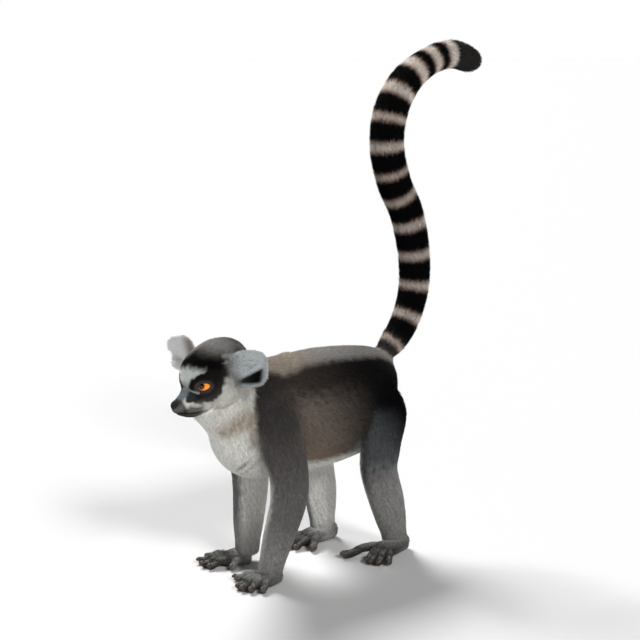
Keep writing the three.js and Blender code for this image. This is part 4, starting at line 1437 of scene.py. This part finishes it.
class LEMUR_OT_skin(bpy.types.Operator):
    """One skin over the whole body, with lids, nose leather and markings"""

    bl_idname = "lemur.skin"
    bl_label = "Skin"

    def execute(self, context):
        merged = voxel_merged(*skin_solids(), SKIN_VOXEL)
        verts, _, _ = mesh_arrays(merged)
        edges = read(merged.edges, "vertices", 2, np.int32)
        f, _, _ = in_head(verts)
        on_head = step(f, -28, -10) * (verts[:, 1] < -215) * step(verts[:, 2], 225, 250)
        low = 1 - step(verts[:, 2], 22, 40)
        fine = np.maximum(on_head, low)
        gap = np.sort(np.abs(Places(verts).gap), axis=1)
        meeting = np.exp(-(gap[:, 1] / 20) ** 2) * (1 - fine)
        withers = step(verts[:, 2], 262, 285) * hump(verts[:, 1], -188, 55)
        skull = on_head * (1 - step(f, 34, 56)) * (1 - 0.8 * on_ears(verts))
        strength = np.maximum.reduce([meeting, withers, 0.08 * (1 - fine), 0.35 * skull])
        verts = smoothed(verts, edges, strength, BLEND_ROUNDS)
        verts = smoothed(verts, edges, np.full(len(verts), 0.8), 2)
        verts = smoothed(verts, edges, np.full(len(verts), 0.9), 3, ways=(0.6, -0.62))
        move_points(merged, verts)
        _, _, normals = mesh_arrays(merged)
        move_points(merged, sculpted(verts, normals))
        keep = np.maximum(on_head * step(f, 10, 45) * 0.9, 0.5 * low)
        thin = protected_decimate(merged, keep, SKIN_KEPT)
        verts, tris, normals = mesh_arrays(thin)
        bpy.data.meshes.remove(thin)
        where = Places(verts)
        tints = [markings(where, colours_of(context.scene.lemur_colours))]
        extra = {"lid": [lid_ring(1), lid_ring(-1)], "nose_leather": [nose_leather()]}
        meshes = [(verts, tris)]
        for shade, pieces in extra.items():
            meshes += pieces
            tints += [np.broadcast_to(SHADES[shade], piece[0].shape) for piece in pieces]
        all_verts, all_tris = joined(meshes)
        mesh = new_mesh("skin", to_model(all_verts), all_tris)
        colour_attribute(mesh, "coat", np.concatenate(tints))
        material = mottled_material("skin_coat", 0.7, 420.0, 0.35, 0.35, specular=0.06)
        skin = new_object("skin", mesh, material)
        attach(skin, "root")
        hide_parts(*FLESH)
        SKIN.update(verts=verts, tris=tris, normals=normals, where=where)
        return {"FINISHED"}


class LEMUR_OT_eyes(bpy.types.Operator):
    """Two eyeballs with a raised cornea, an orange iris and a round pupil"""

    bl_idname = "lemur.eyes"
    bl_label = "Eyes"

    def execute(self, context):
        material = eye_material(context.scene.lemur_colours.iris)
        for name, sign in (("eye_left", 1), ("eye_right", -1)):
            at, axes = eye_frame(sign, GAZE)
            ball, tris = unit_globe()
            theta = np.arccos(ball[:, 2].clip(-1, 1))
            radius = EYE_RADIUS - EYE_INSET + CORNEA_RISE * hump(theta, 0, CORNEA_ANGLE)
            verts = at + ball * radius[:, None] @ axes
            around = (np.arctan2(ball[:, 1], ball[:, 0]) / (2 * np.pi))[tris]
            around += around.max(1, keepdims=True) - around > 0.5
            uv = np.stack([around, theta[tris] / np.pi], -1)
            mesh = new_mesh(name + "_ball", to_model(verts), tris)
            layer = mesh.uv_layers.new(name="sight")
            layer.data.foreach_set("uv", uv.astype(np.float32).ravel())
            eye = new_object(name + "_ball", mesh, material)
            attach(eye, "root")
            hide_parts(name)
        return {"FINISHED"}


class LEMUR_OT_nails(bpy.types.Operator):
    """A small curved nail on every digit"""

    bl_idname = "lemur.nails"
    bl_label = "Nails"

    def execute(self, context):
        nails = []
        for name in PAWS:
            for digit, heading, radius in paw_rows(name)[2]:
                way = unit(np.array([heading[0], heading[1], -0.55]))
                level = np.array([-heading[1], heading[0], 0.0])
                above = np.cross(way, level)
                above = above if above[2] > 0 else -above
                at = digit[-1, :3] - way * radius * 0.35 + above * radius * 0.42
                radii = np.array([radius * 0.55, radius * 0.80, radius * 0.50])
                nails.append(globe(at, radii, np.array([level, way, above]), 16, 10))
        verts, tris = joined(nails)
        verts[:, 2] = np.maximum(verts[:, 2], 0.1)
        mesh = new_mesh("nails", to_model(verts), tris)
        material = mottled_material("nail_horn", 0.55, 500.0, 0.3, 0.15, depth=0.0003, rgb=SHADES["nail"])
        obj = new_object("nails", mesh, material)
        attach(obj, "root")
        return {"FINISHED"}


class LEMUR_OT_coat(bpy.types.Operator):
    """The coat: thin overlapping tufts all over the skin, in a piece for each region"""

    bl_idname = "lemur.coat"
    bl_label = "Coat"

    def execute(self, context):
        coat = context.scene.lemur_coat
        colours = colours_of(context.scene.lemur_colours)
        where, verts, tris, normals = (SKIN[k] for k in ("where", "verts", "tris", "normals"))
        kinds = ("body", "limb", "tail", "face")
        lengths = {name: getattr(coat, f"{name}_length") * 1000 for name in kinds}
        fields = verts, normals, coat_plan(where, lengths), lie_of_coat(where, normals)
        own = np.array(PART_NAMES)[where.share.argmax(1)[tris[:, 0]]]
        first, second, third = (verts[tris[:, k]] for k in range(3))
        area = np.linalg.norm(np.cross(second - first, third - first), axis=1) / 2
        weight = area * fields[2][tris, 3].mean(1)
        scale = coat.tuft_count / weight.sum()
        material = mottled_material("fur", 0.75, 900.0, 0.22, specular=0.02)
        slots = dict.fromkeys(("coat_head", "coat_ears"), "face_coat")
        slots.update(dict.fromkeys(("coat_tail_lower", "coat_tail_upper"), "tail_coat"))
        regions = self.regions(own, where.t["torso"][tris[:, 0]], where.t["tail"][tris[:, 0]])
        for number, (name, inside) in enumerate(regions.items()):
            rng = np.random.default_rng(100 + number)
            chosen = np.flatnonzero(inside & (weight > 0))
            count = int(weight[chosen].sum() * scale)
            if count < 1:
                raise RuntimeError(f"no skin found for {name}")
            pick, shares = scatter(chosen, weight[chosen], min(count, PIECE_TUFTS), rng)
            corners = tris[chosen[pick]]
            root, normal, plan, way = ((field[corners] * shares[..., None]).sum(1) for field in fields)
            normal, way = unit(normal), unit(way)
            _, slope = waves(root, *NOISES["lie"])
            way = way + LIE_SWIRL * (slope - normal * (slope * normal).sum(1, keepdims=True))
            way = unit(way - normal * (way * normal).sum(1, keepdims=True))
            seen = Places(root + way * plan[:, :1] * 0.4)
            tip = Places(root + way * plan[:, :1] * 0.9)
            shades = markings(seen, colours), markings(tip, colours)
            uv = self.unwrap(seen, own[chosen[pick]])
            mesh = tuft_mesh(name, root, normal, way, plan, shades, uv, rng)
            piece = new_object(name, mesh, material)
            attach(piece, "root")
        return {"FINISHED"}

    @staticmethod
    def regions(own, t_torso, t_tail):
        """Which triangles each piece grows on: by the part they belong to, and on trunk and tail by the
        place along it as well."""
        found = {"coat_head": own == "skull", "coat_ears": np.char.startswith(own, "ear")}
        for name, low, high in TORSO_PIECES:
            found[f"coat_{name}"] = (own == "torso") & (t_torso <= high) & (t_torso > low)
        for limb, paw in (("arm", "hand"), ("leg", "foot")):
            for side in SIDES:
                found[f"coat_{limb}_{side}"] = np.isin(own, [f"{limb}_{side}", f"{paw}_{side}"])
        found["coat_tail_lower"] = (own == "tail") & (t_tail < 0.5)
        found["coat_tail_upper"] = (own == "tail") & (t_tail >= 0.5)
        return found

    @staticmethod
    def unwrap(where, own):
        """Each root's place on an unwrap of the skin: the angle round its part and the place along it, the
        parts of one piece side by side."""
        names, column = np.unique(own, return_inverse=True)
        uv = np.empty((len(own), 2))
        for k, part in enumerate(names):
            here = column == k
            angle = np.arctan2(where.b[part][here], where.a[part][here]) / (2 * np.pi) + 0.5
            if part.startswith("ear"):
                angle = (where.a[part][here].clip(-1.2, 1.2) + 1.2) / 4.8 + 0.5 * (where.b[part][here] > 0)
            t = where.t[part][here]
            low, high = t.min(), max(t.max(), t.min() + 1e-6)
            uv[here, 0] = (k + 0.01 + 0.98 * angle.clip(0, 1)) / len(names)
            uv[here, 1] = 0.005 + 0.99 * ((t - low) / (high - low)).clip(0, 1)
        return uv


class LEMUR_OT_studio(bpy.types.Operator):
    """Pale floor, soft lamps and the camera"""

    bl_idname = "lemur.studio"
    bl_label = "Studio"

    def execute(self, context):
        studio = context.scene.lemur_studio
        scene = context.scene
        corners = np.array([(-1, -1, 0), (1, -1, 0), (1, 1, 0), (-1, 1, 0)]) * FLOOR_HALF
        mesh = new_mesh("floor", corners, np.array([(0, 1, 2), (0, 2, 3)]), smooth=False)
        material = mottled_material("floor_paint", 0.9, 3.0, 0.01, rgb=SHADES["floor"])
        floor = new_object("floor", mesh, material)
        self.sky(scene)
        for name, around, up, spread, power in LAMPS:
            data = bpy.data.lights.new(name, "SUN")
            data.angle = math.radians(spread)
            data.energy = power * studio.light
            angles = math.radians(around), math.radians(up)
            self.place(scene, name, data, Vector(), LAMP_DISTANCE, *angles)
        data = bpy.data.cameras.new("camera")
        data.lens = studio.lens
        data.sensor_width = 36.0
        target = Vector(CAMERA_TARGET + SHIFT * 0.001)
        angles = studio.azimuth, studio.elevation
        scene.camera = self.place(scene, "camera", data, target, studio.distance, *angles)
        scene.view_settings.view_transform = "Standard"
        return {"FINISHED"}

    @staticmethod
    def place(scene, name, data, target, distance, around, up):
        """Stands a lamp or camera at a distance from a target, round it and above it by two angles, facing
        it."""
        obj = bpy.data.objects.new(name, data)
        scene.collection.objects.link(obj)
        back = Vector((math.sin(around) * math.cos(up), -math.cos(around) * math.cos(up), math.sin(up)))
        obj.location = target + back * distance
        obj.rotation_euler = (-back).to_track_quat("-Z", "Y").to_euler()
        return obj
    @staticmethod
    def sky(scene):
        """Light from all round: white up to a little over the horizon, then fading upwards."""
        world = bpy.data.worlds.new("studio_air")
        world.use_nodes = True
        tree = world.node_tree
        air = tree.nodes["Background"]
        place, parts = node(tree, "ShaderNodeTexCoord"), node(tree, "ShaderNodeSeparateXYZ")
        fade = node(tree, "ShaderNodeMapRange", **SKY_FADE)
        wire(
            tree,
            (place, "Generated", parts, 0), (parts, "Z", fade, "Value"), (fade, "Result", air, "Strength"),
        )
        air.inputs["Color"].default_value = (1, 1, 1, 1)
        scene.world = world


class LEMUR_PT_panel(bpy.types.Panel):
    """Lists the sizes and the pieces"""

    bl_idname = "LEMUR_PT_panel"
    bl_label = "Ring-tailed lemur"
    bl_space_type = "VIEW_3D"
    bl_region_type = "UI"
    bl_category = "Lemur"

    def draw(self, context):
        for name in ("lemur_coat", "lemur_colours", "lemur_studio"):
            group = getattr(context.scene, name)
            box = self.layout.box()
            for key in type(group).__annotations__:
                box.prop(group, key)
        for operator in OPERATORS:
            self.layout.operator(operator.bl_idname)


GROUPS = {"lemur_coat": LemurCoat, "lemur_colours": LemurColours, "lemur_studio": LemurStudio}
OPERATORS = [LEMUR_OT_studio, LEMUR_OT_skin, LEMUR_OT_eyes, LEMUR_OT_nails, LEMUR_OT_coat]


def register():
    """Makes the settings, the operators and the panel known to Blender."""
    for name, group in GROUPS.items():
        bpy.utils.register_class(group)
        setattr(bpy.types.Scene, name, PointerProperty(type=group))
    for cls in (*OPERATORS, LEMUR_PT_panel):
        bpy.utils.register_class(cls)


def unregister():
    """Takes them away again, in the opposite order."""
    for cls in (LEMUR_PT_panel, *reversed(OPERATORS)):
        bpy.utils.unregister_class(cls)
    for name, group in reversed(GROUPS.items()):
        delattr(bpy.types.Scene, name)
        bpy.utils.unregister_class(group)


def main():
    """Builds everything."""
    register()
    bpy.ops.lemur.studio()
    bpy.ops.lemur.skin()
    bpy.ops.lemur.eyes()
    bpy.ops.lemur.nails()
    bpy.ops.lemur.coat()


if __name__ == "__main__":
    main()
